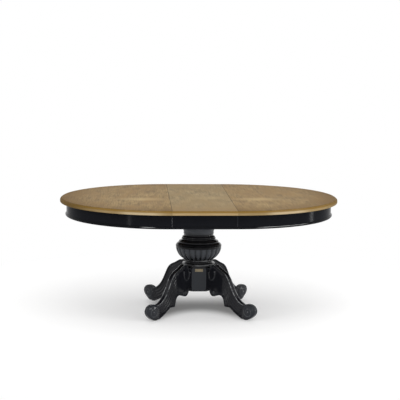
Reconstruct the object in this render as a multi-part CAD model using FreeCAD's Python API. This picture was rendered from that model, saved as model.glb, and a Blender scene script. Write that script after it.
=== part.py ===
import FreeCAD, Part
import math
import os

# Oval extending pedestal table, shown extended with its leaf in place.
# Millimetres. Origin on the floor under the pedestal axis, +X along the top, +Y to the rear, +Z up.

Vec = FreeCAD.Vector
ORIGIN = Vec(0, 0, 0)
UP = Vec(0, 0, 1)
ALONG = Vec(1, 0, 0)

# Table top
TABLE_HEIGHT = 755.0
END_RADIUS = 705.0
LEAF_WIDTH = 390.0
TOP_THICK = 30.0
SEAM_GAP = 0.5
LEAF_SEAT_GAP = 0.2
GLUE_LINE = 0.05

# Moulded edge band around the top
BAND_WIDTH = 40.0
LIP_INSET = 12.0
LIP_THICK = 4.0
QUIRK_DEPTH = 2.0
OVOLO_DROP = 16.0
BAND_LOWER_ROUND = 4.0

# Apron and its bead
APRON_INSET = 40.0
APRON_THICK = 22.0
APRON_HEIGHT = 83.5
BEAD_PROUD = 7.0
BEAD_ROUND_HEIGHT = 12.0
BEAD_COVE_HEIGHT = 4.0
BEAD_FILLET = 3.0
BEAD_TOP_EDGE = 1.0
GLUE_BLOCK_SIDE = 26.0
GLUE_BLOCK_LENGTH = 70.0
HALF_GLUE_BLOCKS = 6
LEAF_GLUE_BLOCK_SPACING = 200.0

# Equalizer slides
RAIL_AXIS_Y = 230.0
CENTRE_RAIL_LENGTH = 700.0
CENTRE_RAIL_WIDTH = 44.0
CENTRE_RAIL_HEIGHT = 39.5
TOP_RUNNING_GAP = 0.5
SLIDE_RAIL_WIDTH = 26.0
SLIDE_RAIL_HEIGHT = 36.0
SLIDE_RAIL_UNDER_HALF = 365.0
SLIDE_RAIL_OVERLAP = 335.0
SLIDE_CLEARANCE = 0.4
DOVETAIL_MOUTH = 16.0
DOVETAIL_FLOOR = 22.0

# Racks and pinions
GEAR_MODULE = 1.5
PINION_TEETH = 18
PRESSURE_ANGLE = math.radians(20.0)
DEDENDUM = 1.25
GEAR_BACKLASH = 0.3
FLANK_STEPS = 4
PINION_THICK = 7.0
RACK_HEIGHT = 8.0
RACK_THICK = 6.0
RELEASE_TRAVEL = 50.0
RACK_SPARE = 15.0
RACK_TIP_ABOVE_TONGUE = 0.5
TONGUE_FLOOR_GAP = 1.0
PINION_POCKET_GAP = 1.0
AXLE_RADIUS = 3.0
AXLE_TOP_COVER = 4.0
AXLE_FIT = 0.05
PINION_WASHER_RADIUS = 7.0
PINION_WASHER_THICK = 1.0
WASHER_PLAY = 0.05

# Cleats under the halves, battens under the leaf
CLEAT_THICK = 20.0
CLEAT_FROM_MIDDLE = 30.0
CLEAT_LENGTH = 120.0
LEDGE_REACH = 25.0
LEDGE_ROOT = 70.0
BATTEN_SETBACK = 40.0
BATTEN_WIDTH = 60.0
LEAF_BATTEN_WIDTH = 40.0
LEAF_BATTEN_SPACING = 220.0
LEAF_BATTEN_END_GAP = 12.0
LOCATOR_LENGTH = 120.0
LOCATOR_WIDTH = 20.0
LOCATOR_HEIGHT = 25.0
LOCATOR_PLAY = 1.0

# Pedestal top board
BOARD_LENGTH = 420.0
BOARD_WIDTH = 560.0
BOARD_THICK = 30.0

# Turned pedestal
COLUMN_BOTTOM = 137.0
COLUMN_HEIGHT = 158.0
RING_HEIGHT = 52.0
BOWL_HEIGHT = 95.0
SHOULDER_HEIGHT = 51.0
NECK_HEIGHT = 162.0
RING_FOOT_RADIUS = 97.0
RING_FOOT_HEIGHT = 13.0
RING_LOW_BEAD = 6.0
RING_EDGE_RADIUS = 107.0
RING_HIGH_RADIUS = 100.0
RING_HIGH_BEAD = 5.0
RING_COVE_DEPTH = 7.5
RING_COVE_DEEPEST = 0.45
BOWL_FOOT_RADIUS = 98.0
BOWL_MID_RADIUS = 140.0
BOWL_MID_DROP = 53.0
BOWL_RADIUS = 149.0
BOWL_WIDEST_DROP = 13.0
BOWL_LIP_SETBACK = 2.0
GADROONS = 24
GADROON_GROOVE = 4.5
GADROON_DEPTH = 2.6
GADROON_START_DROP = 20.0
GADROON_END_RISE = 4.0
SHOULDER_MID_RADIUS = 121.5
SHOULDER_MID_RISE = 23.0
SHOULDER_RING_RADIUS = 106.0
SHOULDER_RING_HEIGHT = 10.0
NECK_FOOT_RADIUS = 101.0
NECK_WAIST_RADIUS = 96.8
NECK_WAIST_RISE = 17.0
NECK_FLARE_RADIUS = 117.0
NECK_FLARE_RISE = 60.0
NECK_CAP_RADIUS = 122.0

# Column
COLUMN_WIDTH = 138.0
COLUMN_FACE = 94.0
COLUMN_WALL = 20.0
COLUMN_CORNER_WALL = 26.0
COLUMN_CAP = 20.0
PLATE_RECESS = 14.0
BASE_PLATE_THICK = 10.0
BASE_PLATE_LEDGE = 6.0
BASE_PLATE_PLAY = 0.3

# Tie rod through the pedestal
ROD_RADIUS = 8.0
ROD_BORE_PLAY = 0.8
ROD_END = 2.0
ROD_NUT_FLATS = 24.0
ROD_NUT_HEIGHT = 10.0
ROD_WASHER_RADIUS = 15.0
ROD_WASHER_THICK = 2.5
BOARD_COUNTERBORE_PLAY = 2.0

# Legs, in the plane of one leg
LEG_THICK = 40.0
LEG_JOINT_RISE = 13.0
LEG_RING_PLAY = 3.0
EAR_RISE = 27.0
EAR_RADIUS = 141.0
DIP_RADIUS = 182.0
DIP_RISE = 6.0
SHOULDER_RADIUS = 236.0
SHOULDER_DROP = 22.0
KNEE_RADIUS = 278.0
KNEE_HEIGHT = 210.0
SHIN_RADIUS = 330.0
SHIN_HEIGHT = 130.0
INSTEP_RADIUS = 396.0
INSTEP_HEIGHT = 93.0
TOE_TOP_RADIUS = 438.0
TOE_TOP_HEIGHT = 106.0
LEG_REACH = 482.0
TOE_TIP_HEIGHT = 66.0
TOE_FRONT_SETBACK = 8.0
TOE_FRONT_HEIGHT = 88.0
TOE_LOW_SETBACK = 16.0
TOE_LOW_HEIGHT = 32.0
FOOT_RADIUS = 409.0
FOOT_FLAT = 42.0
HEEL_RADIUS = 333.0
HEEL_HEIGHT = 32.0
STEP_OUTER_RADIUS = 288.0
STEP_INNER_RADIUS = 243.0
STEP_HEIGHT = 65.0
STEP_TOP_RADIUS = 233.0
STEP_TOP_HEIGHT = 106.0
ARCH_RADIUS = 196.0
ARCH_HEIGHT = 132.0
BRACKET_RADIUS = 146.0
BRACKET_HEIGHT = 118.0
BRACKET_INNER_RADIUS = 112.0

# Leg studs and foot glides
STUD_RADIUS = 4.0
STUD_IN_LEG = 60.0
STUD_END = 3.0
STUD_FIT = 0.05
STUD_WALL_PLAY = 0.5
STUD_LOW_RISE = 42.0
STUD_HIGH_DROP = 36.0
STUD_NUT_FLATS = 13.0
STUD_NUT_HEIGHT = 6.5
STUD_WASHER_RADIUS = 8.0
STUD_WASHER_THICK = 1.6
GLIDE_RADIUS = 13.0
GLIDE_THICK = 4.0
GLIDE_PIN_RADIUS = 2.0
GLIDE_PIN_LENGTH = 14.0

# Screws and bolts of the top works
SCREW_RADIUS = 2.5
SCREW_HEAD_RADIUS = 5.0
SCREW_FIT = 0.1
SCREW_IN_PANEL = 18.0
RAIL_SCREW_END = 40.0
RAIL_SCREWS = 3
NECK_SCREW_RADIUS = 4.0
NECK_SCREW_HEAD_RADIUS = 8.0
NECK_SCREW_CIRCLE = 75.0
NECK_SCREW_DEPTH = 55.0
NECK_SCREWS = 6
RAIL_BOLT_RADIUS = 4.0
RAIL_BOLT_SPACING = 320.0
RAIL_BOLT_DEPTH = 25.0
RAIL_BOLT_FLATS = 13.0
RAIL_BOLT_HEAD = 5.5

# Bare plate on the front face of the column
PLATE_LENGTH = 51.0
PLATE_HEIGHT = 18.0
PLATE_THICK = 1.2
PLATE_DROP = 18.0
PLATE_PIN_RADIUS = 1.2
PLATE_PIN_HEAD = 2.0
PLATE_PIN_HEAD_THICK = 0.8
PLATE_PIN_LENGTH = 10.0
PLATE_PIN_EDGE = 4.0

# Places worked out from the sizes above
TOP_UNDERSIDE = TABLE_HEIGHT - TOP_THICK
HALF_EDGE = LEAF_WIDTH / 2
LEAF_HALF = HALF_EDGE - SEAM_GAP
LEAF_UNDERSIDE = TOP_UNDERSIDE + LEAF_SEAT_GAP
CORE_RADIUS = END_RADIUS - BAND_WIDTH
LIP_RADIUS = END_RADIUS - LIP_INSET
APRON_OUTER = END_RADIUS - APRON_INSET
APRON_INNER = APRON_OUTER - APRON_THICK
APRON_BOTTOM = TOP_UNDERSIDE - APRON_HEIGHT
CENTRE_RAIL_TOP = TOP_UNDERSIDE - TOP_RUNNING_GAP
CENTRE_RAIL_BOTTOM = CENTRE_RAIL_TOP - CENTRE_RAIL_HEIGHT
SLIDE_RAIL_BOTTOM = TOP_UNDERSIDE - SLIDE_RAIL_HEIGHT
SLIDE_MIDDLE = CENTRE_RAIL_BOTTOM + CENTRE_RAIL_HEIGHT / 2
SLIDE_FACE = CENTRE_RAIL_WIDTH / 2 + SLIDE_CLEARANCE
SLIDE_BACK = SLIDE_FACE + SLIDE_RAIL_WIDTH
SLIDE_OUTER_END = HALF_EDGE + SLIDE_RAIL_UNDER_HALF
SLIDE_INNER_END = SLIDE_RAIL_OVERLAP - HALF_EDGE
BOARD_TOP = CENTRE_RAIL_BOTTOM
BOARD_BOTTOM = BOARD_TOP - BOARD_THICK
COLUMN_TOP = COLUMN_BOTTOM + COLUMN_HEIGHT
# The turned pieces fill the height from the column to the board, and share a change of table height.
TURNED_HEIGHT = RING_HEIGHT + BOWL_HEIGHT + SHOULDER_HEIGHT + NECK_HEIGHT
TURNED_STRETCH = (BOARD_BOTTOM - COLUMN_TOP) / TURNED_HEIGHT
RING_TOP = COLUMN_TOP + RING_HEIGHT * TURNED_STRETCH
BOWL_TOP = RING_TOP + BOWL_HEIGHT * TURNED_STRETCH
SHOULDER_TOP = BOWL_TOP + SHOULDER_HEIGHT * TURNED_STRETCH
BOWL_MIDDLE = BOWL_TOP - BOWL_MID_DROP * TURNED_STRETCH
SHOULDER_MIDDLE = BOWL_TOP + SHOULDER_MID_RISE * TURNED_STRETCH
NECK_WAIST = SHOULDER_TOP + NECK_WAIST_RISE * TURNED_STRETCH
NECK_FLARE = SHOULDER_TOP + NECK_FLARE_RISE * TURNED_STRETCH
PITCH_RADIUS = GEAR_MODULE * PINION_TEETH / 2
TOOTH_PITCH = math.pi * GEAR_MODULE
RACK_TIP = PITCH_RADIUS - GEAR_MODULE
TONGUE_FACE = RACK_TIP + RACK_TIP_ABOVE_TONGUE
GROOVE_FLOOR = TONGUE_FACE - TONGUE_FLOOR_GAP
RACK_BACK = RACK_TIP + RACK_THICK
COLUMN_HALF = COLUMN_WIDTH / 2
CORNER_REACH = (COLUMN_WIDTH + COLUMN_FACE) / 2 / math.sqrt(2)
BASE_PLATE_BOTTOM = COLUMN_BOTTOM + PLATE_RECESS
BASE_PLATE_TOP = BASE_PLATE_BOTTOM + BASE_PLATE_THICK
ROD_BORE = ROD_RADIUS + ROD_BORE_PLAY
ROD_SEAT_LOW = BASE_PLATE_BOTTOM
ROD_STACK = ROD_WASHER_THICK + ROD_NUT_HEIGHT
ROD_SEAT_HIGH = BOARD_TOP - ROD_STACK - ROD_END
CAVITY_REACH = CORNER_REACH - COLUMN_CORNER_WALL
STUD_HEIGHTS = (COLUMN_BOTTOM + STUD_LOW_RISE, COLUMN_TOP - STUD_HIGH_DROP)
LEG_NAMES = ("front_right_leg", "rear_right_leg", "rear_left_leg", "front_left_leg")
LEG_TURNS = (-45, 45, 135, 225)


# Small drawing helpers
def point(across, height):
    return Vec(across, 0, height)


def line(start, end):
    return Part.LineSegment(start, end).toShape()


def arc(start, middle, end):
    return Part.Arc(start, middle, end).toShape()


def curve(points):
    spline = Part.BSplineCurve()
    spline.interpolate(points)
    return spline.toShape()


def face_of(edges):
    return Part.Face(Part.Wire(edges))


def polygon(points):
    return Part.Face(Part.makePolygon(points + [points[0]]))


def box(x_range, y_range, z_range):
    size = [b - a for a, b in (x_range, y_range, z_range)]
    return Part.makeBox(size[0], size[1], size[2], Vec(x_range[0], y_range[0], z_range[0]))


def rod(radius, bottom, top, x=0.0, y=0.0):
    return Part.makeCylinder(radius, top - bottom, Vec(x, y, bottom), UP)


def hexagon(flats, bottom, top, x=0.0, y=0.0):
    reach = flats / math.sqrt(3)
    turns = [math.radians(60 * i) for i in range(6)]
    corners = [Vec(x + reach * math.cos(t), y + reach * math.sin(t), bottom) for t in turns]
    return polygon(corners).extrude(Vec(0, 0, top - bottom))


def turned(face, sweep=360.0):
    return face.revolve(ORIGIN, UP, sweep)


def rotated(shape, angle, centre=ORIGIN, axis=UP):
    copy = shape.copy()
    copy.rotate(centre, axis, angle)
    return copy


def moved(shape, x=0.0, y=0.0, z=0.0):
    copy = shape.copy()
    copy.translate(Vec(x, y, z))
    return copy


def flipped(shape):
    return rotated(shape, 180, ORIGIN, ALONG)


def group(solids):
    return Part.makeCompound(solids)


def screw(radius, head_radius, length, fit=0.0):
    # A countersunk screw on the Z axis, head flush at z = 0, tip up. fit widens it into its hole.
    shank = radius + fit
    head = head_radius + fit
    outline = [point(0, 0), point(head, 0), point(shank, head - shank)]
    outline += [point(shank, length + fit), point(0, length + fit)]
    return turned(polygon(outline))


# Table top, edge band, apron and bead: sections shared by the halves and the leaf
def half_turn(face):
    solid = turned(rotated(face, 90), 180)
    return moved(solid, x=-HALF_EDGE)


def leaf_run(face, side):
    start = moved(rotated(face, 90 * side), x=-LEAF_HALF)
    return start.extrude(Vec(2 * LEAF_HALF, 0, 0))


def panel_section(underside):
    lip_bottom = TABLE_HEIGHT - LIP_THICK
    outline = [point(0, underside), point(CORE_RADIUS, underside), point(CORE_RADIUS, lip_bottom)]
    outline += [point(LIP_RADIUS, lip_bottom), point(LIP_RADIUS, TABLE_HEIGHT), point(0, TABLE_HEIGHT)]
    return polygon(outline)


def band_section(underside):
    inner = CORE_RADIUS + GLUE_LINE
    lip = LIP_RADIUS + GLUE_LINE
    under_lip = TABLE_HEIGHT - LIP_THICK - GLUE_LINE
    quirk = TABLE_HEIGHT - QUIRK_DEPTH
    widest = TABLE_HEIGHT - OVOLO_DROP
    swell = math.sqrt(0.5)
    ovolo_middle = point(lip + (END_RADIUS - lip) * swell, widest + (quirk - widest) * swell)
    lower = BAND_LOWER_ROUND
    lower_middle = point(END_RADIUS - lower * (1 - swell), underside + lower * (1 - swell))
    edges = [line(point(inner, underside), point(END_RADIUS - lower, underside))]
    edges += [arc(point(END_RADIUS - lower, underside), lower_middle, point(END_RADIUS, underside + lower))]
    edges += [line(point(END_RADIUS, underside + lower), point(END_RADIUS, widest))]
    edges += [arc(point(END_RADIUS, widest), ovolo_middle, point(lip, quirk))]
    edges += [line(point(lip, quirk), point(lip, under_lip))]
    edges += [line(point(lip, under_lip), point(inner, under_lip))]
    edges += [line(point(inner, under_lip), point(inner, underside))]
    return face_of(edges)


def apron_section(underside):
    outline = [point(APRON_INNER, APRON_BOTTOM), point(APRON_OUTER, APRON_BOTTOM)]
    outline += [point(APRON_OUTER, underside), point(APRON_INNER, underside)]
    return polygon(outline)


def bead_section():
    back = APRON_OUTER + GLUE_LINE
    front = APRON_OUTER + BEAD_PROUD
    neck = front - BEAD_FILLET
    round_top = APRON_BOTTOM + BEAD_ROUND_HEIGHT
    cove_top = round_top + BEAD_COVE_HEIGHT
    thin = back + BEAD_TOP_EDGE
    # The cove rises to a thin upright edge, so its radius follows from its depth and height.
    depth = neck - thin
    radius = (depth**2 + BEAD_COVE_HEIGHT**2) / (2 * depth)
    lean = math.asin(BEAD_COVE_HEIGHT / radius) / 2
    cove_middle = point(thin + radius * (1 - math.cos(lean)), cove_top - radius * math.sin(lean))
    bulge = point(front, APRON_BOTTOM + BEAD_ROUND_HEIGHT / 2)
    edges = [line(point(back, APRON_BOTTOM), point(neck, APRON_BOTTOM))]
    edges += [arc(point(neck, APRON_BOTTOM), bulge, point(neck, round_top))]
    edges += [arc(point(neck, round_top), cove_middle, point(thin, cove_top))]
    edges += [line(point(thin, cove_top), point(back, cove_top))]
    edges += [line(point(back, cove_top), point(back, APRON_BOTTOM))]
    return face_of(edges)


def glue_block_section(underside):
    corner = APRON_INNER - GLUE_LINE
    outline = [point(corner, underside), point(corner - GLUE_BLOCK_SIDE, underside)]
    outline += [point(corner, underside - GLUE_BLOCK_SIDE)]
    return polygon(outline)


# Slides: one dovetail section, one rack, one pinion, used on both sides
def groove_half_height(from_axis):
    mouth = CENTRE_RAIL_WIDTH / 2
    slope = (DOVETAIL_FLOOR - DOVETAIL_MOUTH) / 2 / (mouth - GROOVE_FLOOR)
    return DOVETAIL_MOUTH / 2 + slope * (mouth - from_axis)


def dovetail(root, tip, slack):
    # The tongue section on the -Y side of a rail axis, between two distances from that axis.
    outline = []
    for distance, side in ((root, -1), (tip, -1), (tip, 1), (root, 1)):
        half = groove_half_height(distance) - slack
        outline.append(Vec(0, -distance, SLIDE_MIDDLE + side * half))
    return polygon(outline)


def centre_rail():
    half_length = CENTRE_RAIL_LENGTH / 2
    half_width = CENTRE_RAIL_WIDTH / 2
    heights = (CENTRE_RAIL_BOTTOM, CENTRE_RAIL_TOP)
    rail = box((-half_length, half_length), (-half_width, half_width), heights)
    groove = dovetail(half_width, GROOVE_FLOOR, 0).extrude(Vec(CENTRE_RAIL_LENGTH, 0, 0))
    groove = moved(groove, x=-half_length)
    pocket_half = PINION_THICK / 2 + PINION_WASHER_THICK + 2 * WASHER_PLAY
    pocket_radius = PITCH_RADIUS + GEAR_MODULE + PINION_POCKET_GAP
    pocket = rod(pocket_radius, SLIDE_MIDDLE - pocket_half, SLIDE_MIDDLE + pocket_half)
    axle_hole = rod(AXLE_RADIUS + AXLE_FIT, CENTRE_RAIL_BOTTOM, CENTRE_RAIL_TOP - AXLE_TOP_COVER)
    tools = [groove, rotated(groove, 180), pocket, axle_hole]
    bolt_tip = CENTRE_RAIL_BOTTOM + RAIL_BOLT_DEPTH + SCREW_FIT
    for x in (-RAIL_BOLT_SPACING / 2, RAIL_BOLT_SPACING / 2):
        tools.append(rod(RAIL_BOLT_RADIUS + SCREW_FIT, CENTRE_RAIL_BOTTOM, bolt_tip, x))
    return rail.cut(tools)


def rack_span():
    # Tooth spaces from the middle to each end of a left rack, which reaches both ends of the travel.
    to_outer = math.ceil((HALF_EDGE + RACK_SPARE) / TOOTH_PITCH)
    to_inner = math.ceil((RELEASE_TRAVEL + RACK_SPARE) / TOOTH_PITCH)
    return -to_outer, to_inner


def rack():
    # Tooth spaces lie at whole pitches from x = 0, teeth point to the pinion.
    first, last = rack_span()
    half_tooth = (TOOTH_PITCH / 2 - GEAR_BACKLASH / 2) / 2
    tip_half = half_tooth - GEAR_MODULE * math.tan(PRESSURE_ANGLE)
    root_half = half_tooth + DEDENDUM * GEAR_MODULE * math.tan(PRESSURE_ANGLE)
    root = PITCH_RADIUS + DEDENDUM * GEAR_MODULE
    low = SLIDE_MIDDLE - RACK_HEIGHT / 2
    outline = [Vec(first * TOOTH_PITCH, -RACK_BACK, low), Vec(first * TOOTH_PITCH, -root, low)]
    for index in range(first, last):
        middle = (index + 0.5) * TOOTH_PITCH
        outline += [Vec(middle - root_half, -root, low), Vec(middle - tip_half, -RACK_TIP, low)]
        outline += [Vec(middle + tip_half, -RACK_TIP, low), Vec(middle + root_half, -root, low)]
    outline += [Vec(last * TOOTH_PITCH, -root, low), Vec(last * TOOTH_PITCH, -RACK_BACK, low)]
    return polygon(outline).extrude(Vec(0, 0, RACK_HEIGHT))


def rail_screw_places():
    # The screws stand in the stretch of rail that lies under its half.
    start = -SLIDE_OUTER_END + RAIL_SCREW_END
    step = (SLIDE_RAIL_UNDER_HALF - 2 * RAIL_SCREW_END) / (RAIL_SCREWS - 1)
    middle = -(SLIDE_FACE + SLIDE_BACK) / 2
    return [(start + step * i, middle) for i in range(RAIL_SCREWS)]


def rail_screws(fit):
    shape = screw(SCREW_RADIUS, SCREW_HEAD_RADIUS, SLIDE_RAIL_HEIGHT + SCREW_IN_PANEL, fit)
    return [moved(shape, x, y, SLIDE_RAIL_BOTTOM) for x, y in rail_screw_places()]


def slide_rail():
    # A rail of the left half, on the -Y side of a rail axis at y = 0.
    span = (-SLIDE_OUTER_END, SLIDE_INNER_END)
    bar = box(span, (-SLIDE_BACK, -SLIDE_FACE), (SLIDE_RAIL_BOTTOM, TOP_UNDERSIDE))
    tongue = dovetail(SLIDE_FACE, TONGUE_FACE, SLIDE_CLEARANCE)
    tongue = moved(tongue.extrude(Vec(span[1] - span[0], 0, 0)), x=span[0])
    first, last = rack_span()
    ends = (first * TOOTH_PITCH - GLUE_LINE, last * TOOTH_PITCH + GLUE_LINE)
    half = RACK_HEIGHT / 2 + GLUE_LINE
    channel = box(ends, (-RACK_BACK - GLUE_LINE, -TONGUE_FACE), (SLIDE_MIDDLE - half, SLIDE_MIDDLE + half))
    return bar.fuse(tongue).removeSplitter().cut([channel] + rail_screws(SCREW_FIT))


def involute_half_angle(radius):
    base = PITCH_RADIUS * math.cos(PRESSURE_ANGLE)
    lean = math.acos(min(1.0, base / radius))
    at_pitch = (TOOTH_PITCH / 2 - GEAR_BACKLASH / 2) / 2 / PITCH_RADIUS
    return at_pitch + math.tan(PRESSURE_ANGLE) - PRESSURE_ANGLE - math.tan(lean) + lean


def pinion():
    # Teeth lie at whole steps from the -Y direction, in line with the tooth spaces of the racks at rest.
    base = PITCH_RADIUS * math.cos(PRESSURE_ANGLE)
    tip = PITCH_RADIUS + GEAR_MODULE
    root = PITCH_RADIUS - DEDENDUM * GEAR_MODULE
    flank = [base + (tip - base) * i / FLANK_STEPS for i in range(FLANK_STEPS + 1)]
    rising = [(root, involute_half_angle(base))] + [(r, involute_half_angle(r)) for r in flank]
    low = SLIDE_MIDDLE - PINION_THICK / 2
    outline = []
    for tooth in range(PINION_TEETH):
        middle = 2 * math.pi * tooth / PINION_TEETH - math.pi / 2
        sides = [(r, middle - a) for r, a in rising] + [(r, middle + a) for r, a in reversed(rising)]
        outline += [Vec(r * math.cos(a), r * math.sin(a), low) for r, a in sides]
    gear = polygon(outline).extrude(Vec(0, 0, PINION_THICK))
    return gear.cut(rod(AXLE_RADIUS + AXLE_FIT, CENTRE_RAIL_BOTTOM, CENTRE_RAIL_TOP))


def pinion_washers(y):
    gap = PINION_THICK / 2 + WASHER_PLAY
    washers = []
    for bottom in (SLIDE_MIDDLE + gap, SLIDE_MIDDLE - gap - PINION_WASHER_THICK):
        ring = rod(PINION_WASHER_RADIUS, bottom, bottom + PINION_WASHER_THICK, 0, y)
        bore = rod(AXLE_RADIUS + AXLE_FIT, bottom, bottom + PINION_WASHER_THICK, 0, y)
        washers.append(ring.cut(bore))
    return washers


# One sliding half, built as the left one
def cleat_boxes():
    low = TOP_UNDERSIDE - CLEAT_THICK
    ledge_y = (CLEAT_FROM_MIDDLE, CLEAT_FROM_MIDDLE + CLEAT_LENGTH)
    batten_y = (-ledge_y[1], -ledge_y[0])
    ledge = ((-HALF_EDGE - LEDGE_ROOT, -HALF_EDGE + LEDGE_REACH), ledge_y)
    batten = ((-HALF_EDGE - BATTEN_SETBACK - BATTEN_WIDTH, -HALF_EDGE - BATTEN_SETBACK), batten_y)
    return [(x_range, y_range, (low, TOP_UNDERSIDE)) for x_range, y_range in (ledge, batten)]


def cleat_screws(fit):
    shape = screw(SCREW_RADIUS, SCREW_HEAD_RADIUS, CLEAT_THICK + SCREW_IN_PANEL, fit)
    screws = []
    for x_range, y_range, z_range in cleat_boxes():
        x = (x_range[0] + min(x_range[1], -HALF_EDGE)) / 2
        for share in (0.25, 0.75):
            y = y_range[0] + (y_range[1] - y_range[0]) * share
            screws.append(moved(shape, x, y, z_range[0]))
    return screws


def underside_screws(fit):
    screws = cleat_screws(fit)
    for side in (-1, 1):
        screws += [moved(s, y=side * RAIL_AXIS_Y) for s in rail_screws(fit)]
    return screws


def half_glue_blocks():
    sweep = math.degrees(GLUE_BLOCK_LENGTH / APRON_INNER)
    block = turned(rotated(glue_block_section(TOP_UNDERSIDE), -sweep / 2), sweep)
    step = 180.0 / HALF_GLUE_BLOCKS
    turns = [90 + step * (i + 0.5) for i in range(HALF_GLUE_BLOCKS)]
    return [moved(rotated(block, turn), x=-HALF_EDGE) for turn in turns]


def build_half():
    pieces = {}
    pieces["top_panel"] = half_turn(panel_section(TOP_UNDERSIDE)).cut(underside_screws(SCREW_FIT))
    pieces["edge_band"] = half_turn(band_section(TOP_UNDERSIDE))
    pieces["apron"] = half_turn(apron_section(TOP_UNDERSIDE))
    pieces["apron_bead"] = half_turn(bead_section())
    pieces["front_rail"] = moved(slide_rail(), y=-RAIL_AXIS_Y)
    pieces["rear_rail"] = moved(slide_rail(), y=RAIL_AXIS_Y)
    pieces["front_rack"] = moved(rack(), y=-RAIL_AXIS_Y)
    pieces["rear_rack"] = moved(rack(), y=RAIL_AXIS_Y)
    pieces["underside_screws"] = group(underside_screws(0))
    pieces["glue_blocks"] = group(half_glue_blocks())
    cleats = [box(*ranges).cut(cleat_screws(SCREW_FIT)) for ranges in cleat_boxes()]
    pieces["cleats"] = group(cleats)
    return pieces


def save_halves():
    # The right half is the left one turned half way round, so its front and rear rails change places.
    swap = {"front": "rear", "rear": "front"}
    for name, shape in build_half().items():
        save("left_" + name, shape)
        place, _, kind = name.partition("_")
        turned_name = swap[place] + "_" + kind if place in swap else name
        save("right_" + turned_name, rotated(shape, 180))


# The loose leaf
def leaf_battens():
    low = LEAF_UNDERSIDE - CLEAT_THICK
    inner_rail = RAIL_AXIS_Y - SLIDE_BACK
    locator_outer = inner_rail - LOCATOR_PLAY
    locator_inner = locator_outer - LOCATOR_WIDTH
    end = locator_inner - LEAF_BATTEN_END_GAP
    pieces = []
    for side in (-1, 1):
        x = side * LEAF_BATTEN_SPACING / 2
        x_range = (x - LEAF_BATTEN_WIDTH / 2, x + LEAF_BATTEN_WIDTH / 2)
        pieces.append(box(x_range, (-end, end), (low, LEAF_UNDERSIDE)))
        y_range = tuple(sorted((side * locator_inner, side * locator_outer)))
        locator_x = (-LOCATOR_LENGTH / 2, LOCATOR_LENGTH / 2)
        pieces.append(box(locator_x, y_range, (LEAF_UNDERSIDE - LOCATOR_HEIGHT, LEAF_UNDERSIDE)))
    return group(pieces)


def leaf_glue_blocks():
    blocks = []
    for side in (-1, 1):
        start = rotated(glue_block_section(LEAF_UNDERSIDE), 90 * side)
        block = moved(start.extrude(Vec(GLUE_BLOCK_LENGTH, 0, 0)), x=-GLUE_BLOCK_LENGTH / 2)
        for end in (-1, 1):
            blocks.append(moved(block, x=end * LEAF_GLUE_BLOCK_SPACING / 2))
    return group(blocks)


def save_leaf():
    section = panel_section(LEAF_UNDERSIDE)
    save("leaf_panel", leaf_run(section, 1).fuse(leaf_run(section, -1)).removeSplitter())
    for name, side in (("front", -1), ("rear", 1)):
        save("leaf_" + name + "_edge_band", leaf_run(band_section(LEAF_UNDERSIDE), side))
        save("leaf_" + name + "_apron", leaf_run(apron_section(LEAF_UNDERSIDE), side))
        save("leaf_" + name + "_apron_bead", leaf_run(bead_section(), side))
    save("leaf_battens", leaf_battens())
    save("leaf_glue_blocks", leaf_glue_blocks())


# Centre rails, pinions and the board that carries them
def neck_screw_places():
    turns = [2 * math.pi * (i + 0.5) / NECK_SCREWS for i in range(NECK_SCREWS)]
    return [(NECK_SCREW_CIRCLE * math.cos(t), NECK_SCREW_CIRCLE * math.sin(t)) for t in turns]


def neck_screws(fit):
    shape = screw(NECK_SCREW_RADIUS, NECK_SCREW_HEAD_RADIUS, BOARD_THICK + NECK_SCREW_DEPTH, fit)
    return [moved(flipped(shape), x, y, BOARD_TOP) for x, y in neck_screw_places()]


def rail_bolt_places():
    half = RAIL_BOLT_SPACING / 2
    return [(x, y) for x in (-half, half) for y in (-RAIL_AXIS_Y, RAIL_AXIS_Y)]


def top_board():
    half_length = BOARD_LENGTH / 2
    half_width = BOARD_WIDTH / 2
    board = box((-half_length, half_length), (-half_width, half_width), (BOARD_BOTTOM, BOARD_TOP))
    tools = neck_screws(SCREW_FIT)
    tools.append(rod(ROD_BORE, BOARD_BOTTOM, BOARD_TOP))
    tools.append(rod(ROD_WASHER_RADIUS + BOARD_COUNTERBORE_PLAY, ROD_SEAT_HIGH, BOARD_TOP))
    for x, y in rail_bolt_places():
        tools.append(rod(RAIL_BOLT_RADIUS + SCREW_FIT, BOARD_BOTTOM, BOARD_TOP, x, y))
    return board.cut(tools)


def rail_bolt(x, y):
    head = hexagon(RAIL_BOLT_FLATS, BOARD_BOTTOM - RAIL_BOLT_HEAD, BOARD_BOTTOM, x, y)
    return head.fuse(rod(RAIL_BOLT_RADIUS, BOARD_BOTTOM, BOARD_TOP + RAIL_BOLT_DEPTH, x, y))


def save_slide_works():
    save("top_board", top_board())
    save("neck_screws", group(neck_screws(0)))
    save("centre_rail_bolts", group([rail_bolt(x, y) for x, y in rail_bolt_places()]))
    axle_top = CENTRE_RAIL_TOP - AXLE_TOP_COVER - AXLE_FIT
    axles = [rod(AXLE_RADIUS, BOARD_TOP, axle_top, 0, side * RAIL_AXIS_Y) for side in (-1, 1)]
    save("pinion_axles", group(axles))
    save("pinion_washers", group(pinion_washers(-RAIL_AXIS_Y) + pinion_washers(RAIL_AXIS_Y)))
    for name, side in (("front", -1), ("rear", 1)):
        save(name + "_centre_rail", moved(centre_rail(), y=side * RAIL_AXIS_Y))
        save(name + "_pinion", moved(pinion(), y=side * RAIL_AXIS_Y))


# Turned pieces of the pedestal
def bored(face):
    return turned(face).cut(rod(ROD_BORE, COLUMN_BOTTOM, BOARD_TOP))


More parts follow.
